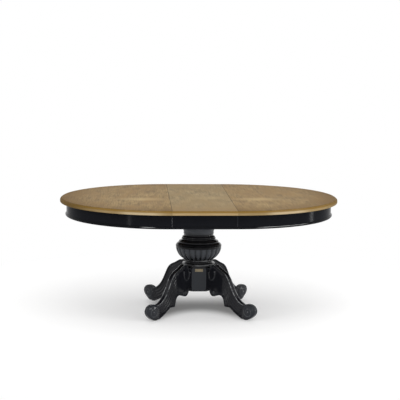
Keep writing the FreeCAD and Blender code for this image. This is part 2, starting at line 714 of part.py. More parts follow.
def base_ring():
    foot_top = COLUMN_TOP + RING_FOOT_HEIGHT * TURNED_STRETCH
    low_root = RING_EDGE_RADIUS - RING_LOW_BEAD
    low_top = foot_top + 2 * RING_LOW_BEAD
    high_root = RING_HIGH_RADIUS - RING_HIGH_BEAD
    high_low = RING_TOP - 2 * RING_HIGH_BEAD
    # The cove between the beads stays flatter than a half circle, however low the ring is.
    cove_height = high_low - low_top
    cove_depth = min(RING_COVE_DEPTH, RING_COVE_DEEPEST * cove_height)
    cove = point((low_root + high_root) / 2 - cove_depth, (low_top + high_low) / 2)
    low_bulge = point(RING_EDGE_RADIUS, foot_top + RING_LOW_BEAD)
    high_bulge = point(RING_HIGH_RADIUS, high_low + RING_HIGH_BEAD)
    edges = [line(point(0, COLUMN_TOP), point(RING_FOOT_RADIUS, COLUMN_TOP))]
    edges += [line(point(RING_FOOT_RADIUS, COLUMN_TOP), point(RING_FOOT_RADIUS, foot_top))]
    edges += [line(point(RING_FOOT_RADIUS, foot_top), point(low_root, foot_top))]
    edges += [arc(point(low_root, foot_top), low_bulge, point(low_root, low_top))]
    edges += [arc(point(low_root, low_top), cove, point(high_root, high_low))]
    edges += [arc(point(high_root, high_low), high_bulge, point(high_root, RING_TOP))]
    edges += [line(point(high_root, RING_TOP), point(0, RING_TOP))]
    edges += [line(point(0, RING_TOP), point(0, COLUMN_TOP))]
    return bored(face_of(edges))


def bowl_arc():
    widest = point(BOWL_RADIUS, BOWL_TOP - BOWL_WIDEST_DROP)
    middle = point(BOWL_MID_RADIUS, BOWL_MIDDLE)
    return arc(widest, middle, point(BOWL_FOOT_RADIUS, RING_TOP))


def gadroon_groove():
    # A round groove that follows the side of the bowl in the XZ plane.
    circle = bowl_arc().Curve
    centre = circle.Center
    reach = circle.Radius + GADROON_GROOVE - GADROON_DEPTH
    start = math.asin((BOWL_TOP - GADROON_START_DROP - centre.z) / circle.Radius)
    end = math.asin((RING_TOP + GADROON_END_RISE - centre.z) / circle.Radius)
    section = Part.Circle(centre + Vec(reach, 0, 0), UP, GADROON_GROOVE)
    tool = Part.Face(Part.Wire(section.toShape()))
    tool = rotated(tool, -math.degrees(start), centre, Vec(0, 1, 0))
    return tool.revolve(centre, Vec(0, 1, 0), math.degrees(start - end))


def gadrooned_bowl():
    widest = point(BOWL_RADIUS, BOWL_TOP - BOWL_WIDEST_DROP)
    lip = point(BOWL_RADIUS - BOWL_LIP_SETBACK, BOWL_TOP)
    lip_middle = point(BOWL_RADIUS, BOWL_TOP - BOWL_WIDEST_DROP / 3)
    edges = [bowl_arc(), line(point(BOWL_FOOT_RADIUS, RING_TOP), point(0, RING_TOP))]
    edges += [line(point(0, RING_TOP), point(0, BOWL_TOP)), line(point(0, BOWL_TOP), lip)]
    edges += [arc(lip, lip_middle, widest)]
    groove = gadroon_groove()
    grooves = [rotated(groove, 360.0 * i / GADROONS) for i in range(GADROONS)]
    return bored(face_of(edges)).cut(grooves)


def shoulder_ring():
    ring_bottom = SHOULDER_TOP - SHOULDER_RING_HEIGHT
    lip = point(BOWL_RADIUS - BOWL_LIP_SETBACK, BOWL_TOP)
    middle = point(SHOULDER_MID_RADIUS, SHOULDER_MIDDLE)
    ring_low = point(SHOULDER_RING_RADIUS, ring_bottom)
    ring_high = point(SHOULDER_RING_RADIUS, SHOULDER_TOP)
    edges = [line(point(0, BOWL_TOP), lip), arc(lip, middle, ring_low), line(ring_low, ring_high)]
    edges += [line(ring_high, point(0, SHOULDER_TOP)), line(point(0, SHOULDER_TOP), point(0, BOWL_TOP))]
    return bored(face_of(edges))


def neck_drum():
    foot = point(NECK_FOOT_RADIUS, SHOULDER_TOP)
    waist = point(NECK_WAIST_RADIUS, NECK_WAIST)
    flare = point(NECK_FLARE_RADIUS, NECK_FLARE)
    cap_low = point(NECK_CAP_RADIUS, NECK_FLARE)
    cap_high = point(NECK_CAP_RADIUS, BOARD_BOTTOM)
    edges = [arc(foot, waist, flare), line(flare, cap_low), line(cap_low, cap_high)]
    edges += [line(cap_high, point(0, BOARD_BOTTOM)), line(point(0, BOARD_BOTTOM), point(0, SHOULDER_TOP))]
    edges += [line(point(0, SHOULDER_TOP), foot)]
    return bored(face_of(edges)).cut(neck_screws(SCREW_FIT))


# Column, its base plate and the tie rod
def chamfered_square(half, corner_reach, bottom, top):
    # A square of the given half width whose corners are cut square to the diagonals at corner_reach.
    square = box((-half, half), (-half, half), (bottom, top))
    diamond = box((-corner_reach, corner_reach), (-corner_reach, corner_reach), (bottom, top))
    return square.common(rotated(diamond, 45))


def column():
    body = chamfered_square(COLUMN_HALF, CORNER_REACH, COLUMN_BOTTOM, COLUMN_TOP)
    cavity_half = COLUMN_HALF - COLUMN_WALL
    cavity = chamfered_square(cavity_half, CAVITY_REACH, COLUMN_BOTTOM, COLUMN_TOP - COLUMN_CAP)
    ledge = BASE_PLATE_LEDGE
    rebate = chamfered_square(cavity_half + ledge, CAVITY_REACH + ledge, COLUMN_BOTTOM, BASE_PLATE_TOP)
    tools = [cavity, rebate, rod(ROD_BORE, COLUMN_BOTTOM, COLUMN_TOP)]
    tools += leg_studs(CAVITY_REACH, CORNER_REACH, STUD_RADIUS + STUD_WALL_PLAY)
    tools += plate_pins(SCREW_FIT)
    return body.cut(tools)


def base_plate():
    grow = BASE_PLATE_LEDGE - BASE_PLATE_PLAY
    half = COLUMN_HALF - COLUMN_WALL + grow
    plate = chamfered_square(half, CAVITY_REACH + grow, BASE_PLATE_BOTTOM, BASE_PLATE_TOP)
    return plate.cut(rod(ROD_BORE, BASE_PLATE_BOTTOM, BASE_PLATE_TOP))


def save_tie_rod():
    low_end = ROD_SEAT_LOW - ROD_STACK - ROD_END / 2
    high_end = ROD_SEAT_HIGH + ROD_STACK + ROD_END / 2
    save("tie_rod", rod(ROD_RADIUS, low_end, high_end))
    washers = []
    nuts = []
    for inner, way in ((ROD_SEAT_LOW, -1), (ROD_SEAT_HIGH, 1)):
        seat = inner + way * ROD_WASHER_THICK
        outer = seat + way * ROD_NUT_HEIGHT
        hole = rod(ROD_RADIUS + SCREW_FIT, low_end, high_end)
        washers.append(rod(ROD_WASHER_RADIUS, min(inner, seat), max(inner, seat)).cut(hole))
        nuts.append(hexagon(ROD_NUT_FLATS, min(seat, outer), max(seat, outer)).cut(hole))
    save("tie_rod_washers", group(washers))
    save("tie_rod_nuts", group(nuts))


# Blank plate with its two pins
def plate_pins(fit):
    # Round-headed pins on the front face, pointing into the column.
    height = COLUMN_TOP - PLATE_DROP
    pins = []
    for side in (-1, 1):
        x = side * (PLATE_LENGTH / 2 - PLATE_PIN_EDGE)
        head_front = Vec(x, -COLUMN_HALF - PLATE_THICK - PLATE_PIN_HEAD_THICK, height)
        seat = Vec(x, -COLUMN_HALF - PLATE_THICK, height)
        inward = Vec(0, 1, 0)
        head = Part.makeCylinder(PLATE_PIN_HEAD, PLATE_PIN_HEAD_THICK, head_front, inward)
        length = PLATE_THICK + PLATE_PIN_LENGTH + fit
        shank = Part.makeCylinder(PLATE_PIN_RADIUS + fit, length, seat, inward)
        pins.append(head.fuse(shank))
    return pins


def save_name_plate():
    height = COLUMN_TOP - PLATE_DROP
    half = PLATE_LENGTH / 2
    z_range = (height - PLATE_HEIGHT / 2, height + PLATE_HEIGHT / 2)
    plate = box((-half, half), (-COLUMN_HALF - PLATE_THICK, -COLUMN_HALF), z_range)
    save("name_plate", plate.cut(plate_pins(SCREW_FIT)))
    save("name_plate_pins", group(plate_pins(0)))


# Legs on the four chamfered corners
def on_corners(shape):
    return [rotated(shape, turn) for turn in LEG_TURNS]


def lying_rod(radius, start, end, height):
    return Part.makeCylinder(radius, end - start, Vec(start, 0, height), ALONG)


def leg_studs(start, end, radius):
    studs = []
    for height in STUD_HEIGHTS:
        studs += on_corners(lying_rod(radius, start, end, height))
    return studs


def leg_outline():
    joint_low = COLUMN_BOTTOM + LEG_JOINT_RISE
    notch = RING_EDGE_RADIUS + LEG_RING_PLAY
    shoulder = point(SHOULDER_RADIUS, COLUMN_TOP - SHOULDER_DROP)
    instep = point(INSTEP_RADIUS, INSTEP_HEIGHT)
    foot_out = point(FOOT_RADIUS + FOOT_FLAT / 2, GLIDE_THICK)
    foot_in = point(FOOT_RADIUS - FOOT_FLAT / 2, GLIDE_THICK)
    step_out = point(STEP_OUTER_RADIUS, STEP_HEIGHT)
    step_in = point(STEP_INNER_RADIUS, STEP_HEIGHT)
    step_top = point(STEP_TOP_RADIUS, STEP_TOP_HEIGHT)
    bracket_in = point(BRACKET_INNER_RADIUS, joint_low)
    edges = [line(point(CORNER_REACH, joint_low), point(CORNER_REACH, COLUMN_TOP))]
    edges += [line(point(CORNER_REACH, COLUMN_TOP), point(notch, COLUMN_TOP))]
    ear = point(EAR_RADIUS, COLUMN_TOP + EAR_RISE)
    dip = point(DIP_RADIUS, COLUMN_TOP + DIP_RISE)
    knee = point(KNEE_RADIUS, KNEE_HEIGHT)
    shin = point(SHIN_RADIUS, SHIN_HEIGHT)
    edges += [curve([point(notch, COLUMN_TOP), ear, dip, shoulder, knee, shin, instep])]
    toe_top = point(TOE_TOP_RADIUS, TOE_TOP_HEIGHT)
    toe_front = point(LEG_REACH - TOE_FRONT_SETBACK, TOE_FRONT_HEIGHT)
    toe_low = point(LEG_REACH - TOE_LOW_SETBACK, TOE_LOW_HEIGHT)
    toe_tip = point(LEG_REACH, TOE_TIP_HEIGHT)
    edges += [curve([instep, toe_top, toe_front, toe_tip, toe_low, foot_out])]
    edges += [line(foot_out, foot_in)]
    edges += [curve([foot_in, point(HEEL_RADIUS, HEEL_HEIGHT), step_out])]
    edges += [line(step_out, step_in), line(step_in, step_top)]
    arch = point(ARCH_RADIUS, ARCH_HEIGHT)
    edges += [curve([step_top, arch, point(BRACKET_RADIUS, BRACKET_HEIGHT), bracket_in])]
    edges += [line(bracket_in, point(CORNER_REACH, joint_low))]
    return face_of(edges)


def leg():
    blank = moved(leg_outline().extrude(Vec(0, LEG_THICK, 0)), y=-LEG_THICK / 2)
    tools = [rod(GLIDE_PIN_RADIUS + STUD_FIT, 0, GLIDE_PIN_LENGTH + STUD_FIT, FOOT_RADIUS)]
    stud_end = CORNER_REACH + STUD_IN_LEG + STUD_FIT
    for height in STUD_HEIGHTS:
        tools.append(lying_rod(STUD_RADIUS + STUD_FIT, CORNER_REACH, stud_end, height))
    return blank.cut(tools)


def lying_nut(start, end, height):
    nut = hexagon(STUD_NUT_FLATS, 0, end - start)
    return moved(rotated(nut, 90, ORIGIN, Vec(0, 1, 0)), x=start, z=height)


def save_legs():
    for name, shape in zip(LEG_NAMES, on_corners(leg())):
        save(name, shape)
    glide = rod(GLIDE_RADIUS, 0, GLIDE_THICK, FOOT_RADIUS)
    glide = glide.fuse(rod(GLIDE_PIN_RADIUS, GLIDE_THICK, GLIDE_PIN_LENGTH, FOOT_RADIUS))
    save("foot_glides", group(on_corners(glide)))
    washer_in = CAVITY_REACH - STUD_WASHER_THICK
    nut_in = washer_in - STUD_NUT_HEIGHT
    save("leg_studs", group(leg_studs(nut_in - STUD_END, CORNER_REACH + STUD_IN_LEG, STUD_RADIUS)))
    washers = []
    nuts = []
    for height in STUD_HEIGHTS:
        hole = lying_rod(STUD_RADIUS + STUD_FIT, nut_in, CAVITY_REACH, height)
        washers += on_corners(lying_rod(STUD_WASHER_RADIUS, washer_in, CAVITY_REACH, height).cut(hole))
        nuts += on_corners(lying_nut(nut_in, washer_in, height).cut(hole))
    save("leg_washers", group(washers))
    save("leg_nuts", group(nuts))


def save_pedestal():
    save("column", column())
    save("column_base_plate", base_plate())
    save("base_ring", base_ring())
    save("gadrooned_bowl", gadrooned_bowl())
    save("shoulder_ring", shoulder_ring())
    save("neck_drum", neck_drum())
    save_tie_rod()
    save_name_plate()
    save_legs()


def save(name, shape):
    solids = shape.Solids
    print(name, len(solids), "solids", round(shape.Volume / 1000.0, 2), "cm3", shape.isValid())
    result = solids[0] if len(solids) == 1 else shape
    result.exportStep(os.path.join("parts", name + ".step"))


def main():
    os.makedirs("parts", exist_ok=True)
    save_pedestal()
    save_slide_works()
    save_halves()
    save_leaf()


main()
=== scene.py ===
"""Looks of an oval extending table: oak top of two halves and a leaf, black apron, carved pedestal.

Sizes of the table are in millimetres and become metres when a mesh or a material is made, and the studio is
in metres. The frame is the table's own: origin on the floor under the pedestal, +X along the top, +Y to the
rear, +Z up.
"""

from __future__ import annotations

import logging
import math
from dataclasses import dataclass
from enum import Enum

import bmesh
import bpy
import numpy as np
from mathutils import Matrix, Vector


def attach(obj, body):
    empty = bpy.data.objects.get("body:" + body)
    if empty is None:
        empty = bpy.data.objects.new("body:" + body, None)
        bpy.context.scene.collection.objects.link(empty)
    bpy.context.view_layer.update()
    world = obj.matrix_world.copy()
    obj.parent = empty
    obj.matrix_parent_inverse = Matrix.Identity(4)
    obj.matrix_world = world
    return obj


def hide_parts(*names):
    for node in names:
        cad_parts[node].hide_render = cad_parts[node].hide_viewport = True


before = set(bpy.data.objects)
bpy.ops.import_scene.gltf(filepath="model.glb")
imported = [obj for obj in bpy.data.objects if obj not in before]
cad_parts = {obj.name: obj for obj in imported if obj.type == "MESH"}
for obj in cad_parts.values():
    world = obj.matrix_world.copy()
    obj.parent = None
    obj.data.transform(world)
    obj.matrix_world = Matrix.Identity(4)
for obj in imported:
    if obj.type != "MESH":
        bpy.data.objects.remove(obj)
log = logging.getLogger("oval_table")
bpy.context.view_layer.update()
MM = 0.001
Source = bpy.types.Node | bpy.types.NodeSocket

# A colour Mix node: its setting, and the numbers of its inputs
COLOUR = {"data_type": "RGBA"}
SHARE, UNDER, OVER = 0, 6, 7


class Side(Enum):
    """The two sliding halves, with the turn that carries the left one onto each."""

    LEFT = 1.0
    RIGHT = -1.0


class Edge(Enum):
    """The long edges of the leaf, with the way that each faces along Y."""

    FRONT = -1.0
    REAR = 1.0


class Corner(Enum):
    """The four legs, with the turn of each about the pedestal axis in degrees."""

    FRONT_RIGHT = -45.0
    REAR_RIGHT = 45.0
    REAR_LEFT = 135.0
    FRONT_LEFT = 225.0


class Fade(Enum):
    """How one colour gives way to another, in the node's own words."""

    EVEN = "LINEAR"
    SOFT = "SMOOTHSTEP"


# Colours and nodes
def linear(colour: str) -> tuple[float, float, float, float]:
    """Turns an sRGB hex colour into linear light.

    Args:
        colour: six hex digits after a hash sign.

    Returns:
        Red, green, blue and a full alpha.
    """
    code = np.array([int(colour[i : i + 2], 16) for i in (1, 3, 5)]) / 255.0
    light = np.where(code <= 0.04045, code / 12.92, ((code + 0.055) / 1.055) ** 2.4)
    return float(light[0]), float(light[1]), float(light[2]), 1.0


def add_node(
    tree: bpy.types.NodeTree, kind: str, values: dict | None = None, links: dict | None = None
) -> bpy.types.Node:
    """Adds one node with its settings and links.

    Args:
        tree: the node tree that takes it.
        kind: the node's type name without its ShaderNode prefix.
        values: node settings by name, and values of its input sockets by name or number.
        links: by the name or number of an input, the socket that feeds it, or the node whose result does.

    Returns:
        The new node.
    """
    node = tree.nodes.new("ShaderNode" + kind)
    for key, value in (values or {}).items():
        if isinstance(key, str) and hasattr(node, key):
            setattr(node, key, value)
        else:
            node.inputs[key].default_value = value
    for key, source in (links or {}).items():
        if isinstance(source, bpy.types.Node):
            source = next(socket for socket in source.outputs if socket.enabled)
        tree.links.new(source, node.inputs[key])
    return node


def combed(tree: bpy.types.NodeTree, place: Source, size_mm: tuple, values: dict) -> bpy.types.Node:
    """Adds a noise whose flecks have a real size along each axis.

    Args:
        tree: the node tree that takes it.
        place: the coordinates that it reads, in metres.
        size_mm: how large its flecks are along X, Y and Z.
        values: settings of the noise.

    Returns:
        The noise node.
    """
    scale = [1000.0 / size for size in size_mm]
    comb = add_node(tree, "Mapping", {"Scale": scale}, {"Vector": place})
    return add_node(tree, "TexNoise", {"Scale": 1.0} | values, {"Vector": comb})


def away(tree: bpy.types.NodeTree, value: Source, *places: float) -> bpy.types.Node:
    """Adds nodes for how far a value is from a place, then how far that is from the next one.

    Args:
        tree: the node tree that takes them.
        value: what is measured, in metres.
        places: where it is measured from, in metres.

    Returns:
        The node that gives the last distance.
    """
    for place in places:
        off = add_node(tree, "Math", {"operation": "SUBTRACT", 1: place}, {0: value})
        value = add_node(tree, "Math", {"operation": "ABSOLUTE"}, {0: off})
    return value


def stained(
    tree: bpy.types.NodeTree,
    under: Source | str,
    over: str,
    value: Source,
    ends: tuple[float, float],
    shares: tuple[float, float] = (0.0, 1.0),
    fade: Fade = Fade.EVEN,
) -> bpy.types.Node:
    """Lays one colour over another by a share that follows a value.

    Args:
        tree: the node tree that takes it.
        under: the colour underneath, as hex or as what gives it.
        over: the hex colour that is laid over it.
        value: what the share follows.
        ends: the two values between which the share changes.
        shares: the share at each of them.
        fade: how it changes between them.

    Returns:
        The node that gives the mixed colour.
    """
    values = {"interpolation_type": fade.value, "From Min": ends[0], "From Max": ends[1]}
    values |= {"To Min": shares[0], "To Max": shares[1]}
    links = {SHARE: add_node(tree, "MapRange", values, {"Value": value})}
    colours = COLOUR | {OVER: linear(over)}
    if isinstance(under, str):
        colours[UNDER] = linear(under)
    else:
        links[UNDER] = under
    return add_node(tree, "Mix", colours, links)


def shown_rays(tree: bpy.types.NodeTree) -> bpy.types.Node:
    """Adds nodes that give 1 to rays of the camera, gloss and glass, and 0 to light that bounces.

    Args:
        tree: the node tree that takes them.

    Returns:
        The last of them.
    """
    rays = add_node(tree, "LightPath").outputs
    shown = rays["Is Camera Ray"]
    for kind in ("Is Glossy Ray", "Is Transmission Ray"):
        shown = add_node(tree, "Math", {"operation": "MAXIMUM"}, {0: shown, 1: rays[kind]})
    return shown


# Finishes
@dataclass(frozen=True)
class Finish:
    """A finish, named for the real material and how its surface was made."""

    name: str

    def surface(self, tree: bpy.types.NodeTree) -> bpy.types.Node:
        """Adds the nodes of the finish.

        Args:
            tree: the node tree that takes them.

        Returns:
            The node of its shader.
        """
        raise NotImplementedError

    def material(self) -> bpy.types.Material:
        """Makes the material.

        Returns:
            A node material whose output is the finish's shader.
        """
        material = bpy.data.materials.new(self.name)
        material.use_nodes = True
        tree = material.node_tree
        tree.nodes.clear()
        add_node(tree, "OutputMaterial", {}, {"Surface": self.surface(tree)})
        return material


@dataclass(frozen=True)
class RubbedOak(Finish):
    """Oak veneer, stained and rubbed, under a satin lacquer.

    It gives the eye a mottled brown with streaks along the grain, which runs from front to rear, a painted
    highlight round one place in the middle, painted shade towards the rim, a dark line of stain along each
    joint, and painted shade on the underside.
    """

    pale: str
    dark: str
    warm: str
    # The next two colours are painted shade towards the rim and a painted highlight round one place.
    rim: str
    rubbed: str
    rubbed_at: tuple[float, float, float]
    rubbed_mm: tuple[float, float] = (10.0, 210.0)
    highlight_oval: float = 1.8
    rim_mm: tuple[float, float] = (265.0, 565.0)
    rim_shade_oval: float = 0.61
    rim_shade_back: float = 200.0
    stain_mm: tuple[float, float] = (0.8, 2.4)
    figure_mm: tuple[float, float] = (45.0, 170.0)
    cloud_mm: tuple[float, float] = (150.0, 420.0)
    grain_mm: tuple[float, float] = (9.0, 150.0)
    streak: tuple[float, float] = (0.7, 1.24)
    joint_mm: float = 195.25
    joint_colour: str = "#3f311d"
    # Painted shade on everything below the lip.
    underside_shade: str = "#33261a"
    lip_mm: tuple[float, float] = (750.4, 750.5)
    pore_mm: float = 0.6
    roughness: tuple[float, float] = (0.46, 0.6)
    specular: float = 0.05

    def surface(self, tree: bpy.types.NodeTree) -> bpy.types.Node:
        """Adds the nodes of the finish.

        Args:
            tree: the node tree that takes them.

        Returns:
            The node of its shader.
        """
        place = add_node(tree, "TexCoord").outputs["Object"]
        x, _, z = add_node(tree, "SeparateXYZ", {}, {0: place}).outputs
        # Figure: lighter and darker flakes, longer along the grain, with broad warmer clouds of stain.
        # Grain: the real lines are about 1 mm apart, drawn 9 mm apart so that they show.
        figure, cloud, grain = (
            combed(tree, place, (wide, long, wide), {"Detail": detail, "Roughness": 0.62})
            for (wide, long), detail in ((self.figure_mm, 4.0), (self.cloud_mm, 2.0), (self.grain_mm, 3.0))
        )
        wood = stained(tree, self.dark, self.pale, figure, (0.32, 0.68))
        low, high = self.streak
        values = {"From Min": 0.3, "From Max": 0.7, "To Min": low, "To Max": high}
        streak = add_node(tree, "MapRange", values, {"Value": grain})
        values = COLOUR | {"blend_type": "MULTIPLY", SHARE: 1.0}
        wood = add_node(tree, "Mix", values, {UNDER: wood, OVER: streak})
        wood = stained(tree, wood, self.warm, cloud, (0.42, 0.72))
        # Painted highlight: a paler oval round one place of the panel.
        # Painted shade: darker far from it, mostly towards the tip.
        reaches = []
        pale_x, pale_y, top = self.rubbed_at
        for oval, back in ((self.highlight_oval, 0.0), (self.rim_shade_oval, self.rim_shade_back)):
            values = {"operation": "MULTIPLY", 1: (1.0, oval, 1.0)}
            drawn_in = add_node(tree, "VectorMath", values, {0: place})
            values = {"operation": "DISTANCE", 1: Vector((pale_x, (pale_y + back) * oval, top)) * MM}
            reaches.append(add_node(tree, "VectorMath", values, {0: drawn_in}))
        # Joint: stain gathered in the last 2 mm each side of the seam.
        # Underside: everything below the lip is painted dark, as painted shade.
        for over, value, (near, far), shares in (
            (self.rubbed, reaches[0], self.rubbed_mm, (0.5, 0.0)),
            (self.rim, reaches[1], self.rim_mm, (0.0, 0.9)),
            (self.joint_colour, away(tree, x, 0.0, self.joint_mm * MM), self.stain_mm, (0.75, 0.0)),
            (self.underside_shade, z, self.lip_mm, (1.0, 0.0)),
        ):
            wood = stained(tree, wood, over, value, (near * MM, far * MM), shares, Fade.SOFT)
        low, high = self.roughness
        satin = add_node(tree, "MapRange", {"To Min": low, "To Max": high}, {"Value": figure})
        pores = add_node(tree, "Bump", {"Strength": 0.25, "Distance": self.pore_mm * MM}, {"Height": grain})
        links = {"Base Color": wood, "Roughness": satin, "Normal": pores}
        return add_node(tree, "BsdfPrincipled", {"Specular IOR Level": self.specular}, links)


@dataclass(frozen=True)
class MouldedOak(Finish):
    """Solid oak edge, run to a moulding and stained, under a satin lacquer.

    It gives the eye a golden band with fine streaks along its run, painted shade towards the tips of the
    oval, a painted highlight on its round between tip and joint, and painted shade in the quirk at its top.
    The mark attribute holds metres along the run and metres round the section.
    """

    pale: str
    dark: str
    # The next three colours are painted shade in the quirk, painted shade at the tips and a painted
    # highlight.
    quirk: str = "#82642d"
    tip: str = "#664e22"
    rubbed: str = "#d3be99"
    grain_mm: tuple[float, float] = (120.0, 3.0)
    quirk_mm: tuple[float, float] = (11.5, 21.5)
    tip_mm: tuple[float, float] = (640.0, 900.0)
    rubbed_mm: tuple[float, float] = (60.0, 165.0)
    middle_mm: float = 60.0
    rubbed_at: float = 440.0
    pore_mm: float = 0.4
    roughness: tuple[float, float] = (0.45, 0.6)
    specular: float = 0.03

    def surface(self, tree: bpy.types.NodeTree) -> bpy.types.Node:
        """Adds the nodes of the finish.

        Args:
            tree: the node tree that takes them.

        Returns:
            The node of its shader.
        """
        run = add_node(tree, "Attribute", {"attribute_name": "mark"}).outputs["Vector"]
        girth = add_node(tree, "SeparateXYZ", {}, {0: run}).outputs[1]
        place = add_node(tree, "TexCoord").outputs["Object"]
        x = add_node(tree, "SeparateXYZ", {}, {0: place}).outputs[0]
        out = away(tree, x, self.middle_mm * MM)
        grain = combed(tree, run, (*self.grain_mm, 1000.0), {"Detail": 4.0, "Roughness": 0.65})
        wood = stained(tree, self.dark, self.pale, grain, (0.3, 0.7))
        # Painted highlight on the round between tip and joint, painted shade in the quirk and towards the
        # tips.
        for over, value, (near, far), shares in (
            (self.rubbed, away(tree, out, self.rubbed_at * MM), self.rubbed_mm, (0.8, 0.0)),
            (self.quirk, girth, self.quirk_mm, (0.9, 0.0)),
            (self.tip, out, self.tip_mm, (0.0, 0.9)),
        ):
            wood = stained(tree, wood, over, value, (near * MM, far * MM), shares, Fade.SOFT)
        low, high = self.roughness
        satin = add_node(tree, "MapRange", {"To Min": low, "To Max": high}, {"Value": grain})
        values = {"Strength": 0.2, "Distance": self.pore_mm * MM}
        pores = add_node(tree, "Bump", values, {"Height": grain})
        links = {"Base Color": wood, "Roughness": satin, "Normal": pores}
        return add_node(tree, "BsdfPrincipled", {"IOR": 1.5, "Specular IOR Level": self.specular}, links)


@dataclass(frozen=True)
class BlackLacquer(Finish):
    """Hardwood under sprayed and rubbed black lacquer.

    It gives the eye a near black with soft wide reflections and a faint unevenness where it was rubbed down.
    On carving, the crests are paler, partly from rubbing and partly as painted highlight, and broad rounds
    carry a grey painted sheen that stands for reflected light: the mark attribute holds the share of pale
    crests first and the share of sheen last. Beside a joint the sharp edges are rubbed to a hairline.
    """

    colour: str
    # The grey of the random unevenness, and on carving of the painted sheen.
    bloom: str
    roughness: tuple[float, float]
    specular: float
    carved: bool = False
    cloud_mm: float = 110.0
    cloud_share: float = 0.35
    ripple_mm: float = 30.0
    ripple_depth: float = 0.4
    # The pale colour of crests, from rubbing and as painted highlight.
    worn: str = "#b4b6b8"
    broken_mm: float = 20.0
    broken: float = 0.08
    joint_mm: float = 0.0
    joint_colour: str = "#34363a"
    hairline_mm: tuple[float, float] = (1.0, 3.0)

    def surface(self, tree: bpy.types.NodeTree) -> bpy.types.Node:
        """Adds the nodes of the finish.

        Args:
            tree: the node tree that takes them.

        Returns:
            The node of its shader.
        """
        place = add_node(tree, "TexCoord").outputs["Object"]
        cloud = combed(tree, place, (self.cloud_mm,) * 3, {"Detail": 3.0})
        ripple = combed(tree, place, (self.ripple_mm,) * 3, {"Detail": 2.0})
        values = {"From Min": 0.35, "From Max": 0.75, "To Max": self.cloud_share}
        share = add_node(tree, "MapRange", values, {"Value": cloud})
        if self.carved:
            mark = add_node(tree, "Attribute", {"attribute_name": "mark"}).outputs["Vector"]
            wear_and_highlight, _, bloom = add_node(tree, "SeparateXYZ", {}, {0: mark}).outputs
            # On carving, the last mark adds grey painted sheen to the random unevenness.
            share = add_node(tree, "Math", {"use_clamp": True}, {0: share, 1: bloom})
        values = COLOUR | {UNDER: linear(self.colour), OVER: linear(self.bloom)}
        colour = add_node(tree, "Mix", values, {SHARE: share})
        if self.carved:
            # Pale crests by the first mark, from rubbing and as painted highlight, broken into patches.
            patch = combed(tree, place, (self.broken_mm,) * 3, {"Detail": 2.0})
            values = {"From Min": 0.4, "From Max": 0.6, "To Min": self.broken}
            broken = add_node(tree, "MapRange", values, {"Value": patch})
            share = add_node(tree, "Math", {"operation": "MULTIPLY"}, {0: wear_and_highlight, 1: broken})
            values = COLOUR | {OVER: linear(self.worn)}
            colour = add_node(tree, "Mix", values, {SHARE: share, UNDER: colour})
        if self.joint_mm:
            x = add_node(tree, "SeparateXYZ", {}, {0: place}).outputs[0]
            gap = away(tree, x, 0.0, self.joint_mm * MM)
            near, far = self.hairline_mm
            colour = stained(tree, colour, self.joint_colour, gap, (near * MM, far * MM), (1.0, 0.0))
        low, high = self.roughness
        values = {"From Min": 0.3, "From Max": 0.7, "To Min": low, "To Max": high}
        sheen = add_node(tree, "MapRange", values, {"Value": cloud})
        values = {"Strength": 0.3, "Distance": self.ripple_depth * MM}
        wave = add_node(tree, "Bump", values, {"Height": ripple})
        links = {"Base Color": colour, "Roughness": sheen, "Normal": wave}
        return add_node(tree, "BsdfPrincipled", {"IOR": 1.5, "Specular IOR Level": self.specular}, links)


@dataclass(frozen=True)
class PlanedWood(Finish):
    """Planed timber of the slides, board and blocks, waxed or bare.

    It gives the eye a pale matt wood with streaks along X and small darker flecks.
    """

    pale: str
    dark: str
    grain_mm: tuple[float, float] = (90.0, 5.0)
    roughness: float = 0.6
    pore_mm: float = 0.4

    def surface(self, tree: bpy.types.NodeTree) -> bpy.types.Node:
        """Adds the nodes of the finish.

        Args:
            tree: the node tree that takes them.

        Returns:
            The node of its shader.
        """
        place = add_node(tree, "TexCoord").outputs["Object"]
        long, wide = self.grain_mm
        grain = combed(tree, place, (long, wide, wide), {"Detail": 4.0, "Distortion": 0.4})
        colour = stained(tree, self.dark, self.pale, grain, (0.3, 0.7))
        values = {"Strength": 0.2, "Distance": self.pore_mm * MM}
        plane = add_node(tree, "Bump", values, {"Height": grain})
        links = {"Base Color": colour, "Normal": plane}
        return add_node(tree, "BsdfPrincipled", {"Roughness": self.roughness}, links)


@dataclass(frozen=True)
class WorkedPart(Finish):
    """Small parts of metal or plastic: plated, rolled or moulded.

    It gives the eye one colour with a fine uneven polish, and a slight tarnish or scuff in patches.
    """

    colour: str
    scuff: str
    metallic: float
    roughness: tuple[float, float]
    patch_mm: float = 6.0
    grit_mm: float = 0.2

    def surface(self, tree: bpy.types.NodeTree) -> bpy.types.Node:
        """Adds the nodes of the finish.

        Args:
            tree: the node tree that takes them.

        Returns:
            The node of its shader.
        """
        place = add_node(tree, "TexCoord").outputs["Object"]
        patch = combed(tree, place, (self.patch_mm,) * 3, {"Detail": 3.0})
        colour = stained(tree, self.colour, self.scuff, patch, (0.45, 0.75))
        low, high = self.roughness
        polish = add_node(tree, "MapRange", {"To Min": low, "To Max": high}, {"Value": patch})
        values = {"Strength": 0.15, "Distance": self.grit_mm * MM}
        grit = add_node(tree, "Bump", values, {"Height": patch})
        links = {"Base Color": colour, "Roughness": polish, "Normal": grit}
        return add_node(tree, "BsdfPrincipled", {"Metallic": self.metallic}, links)


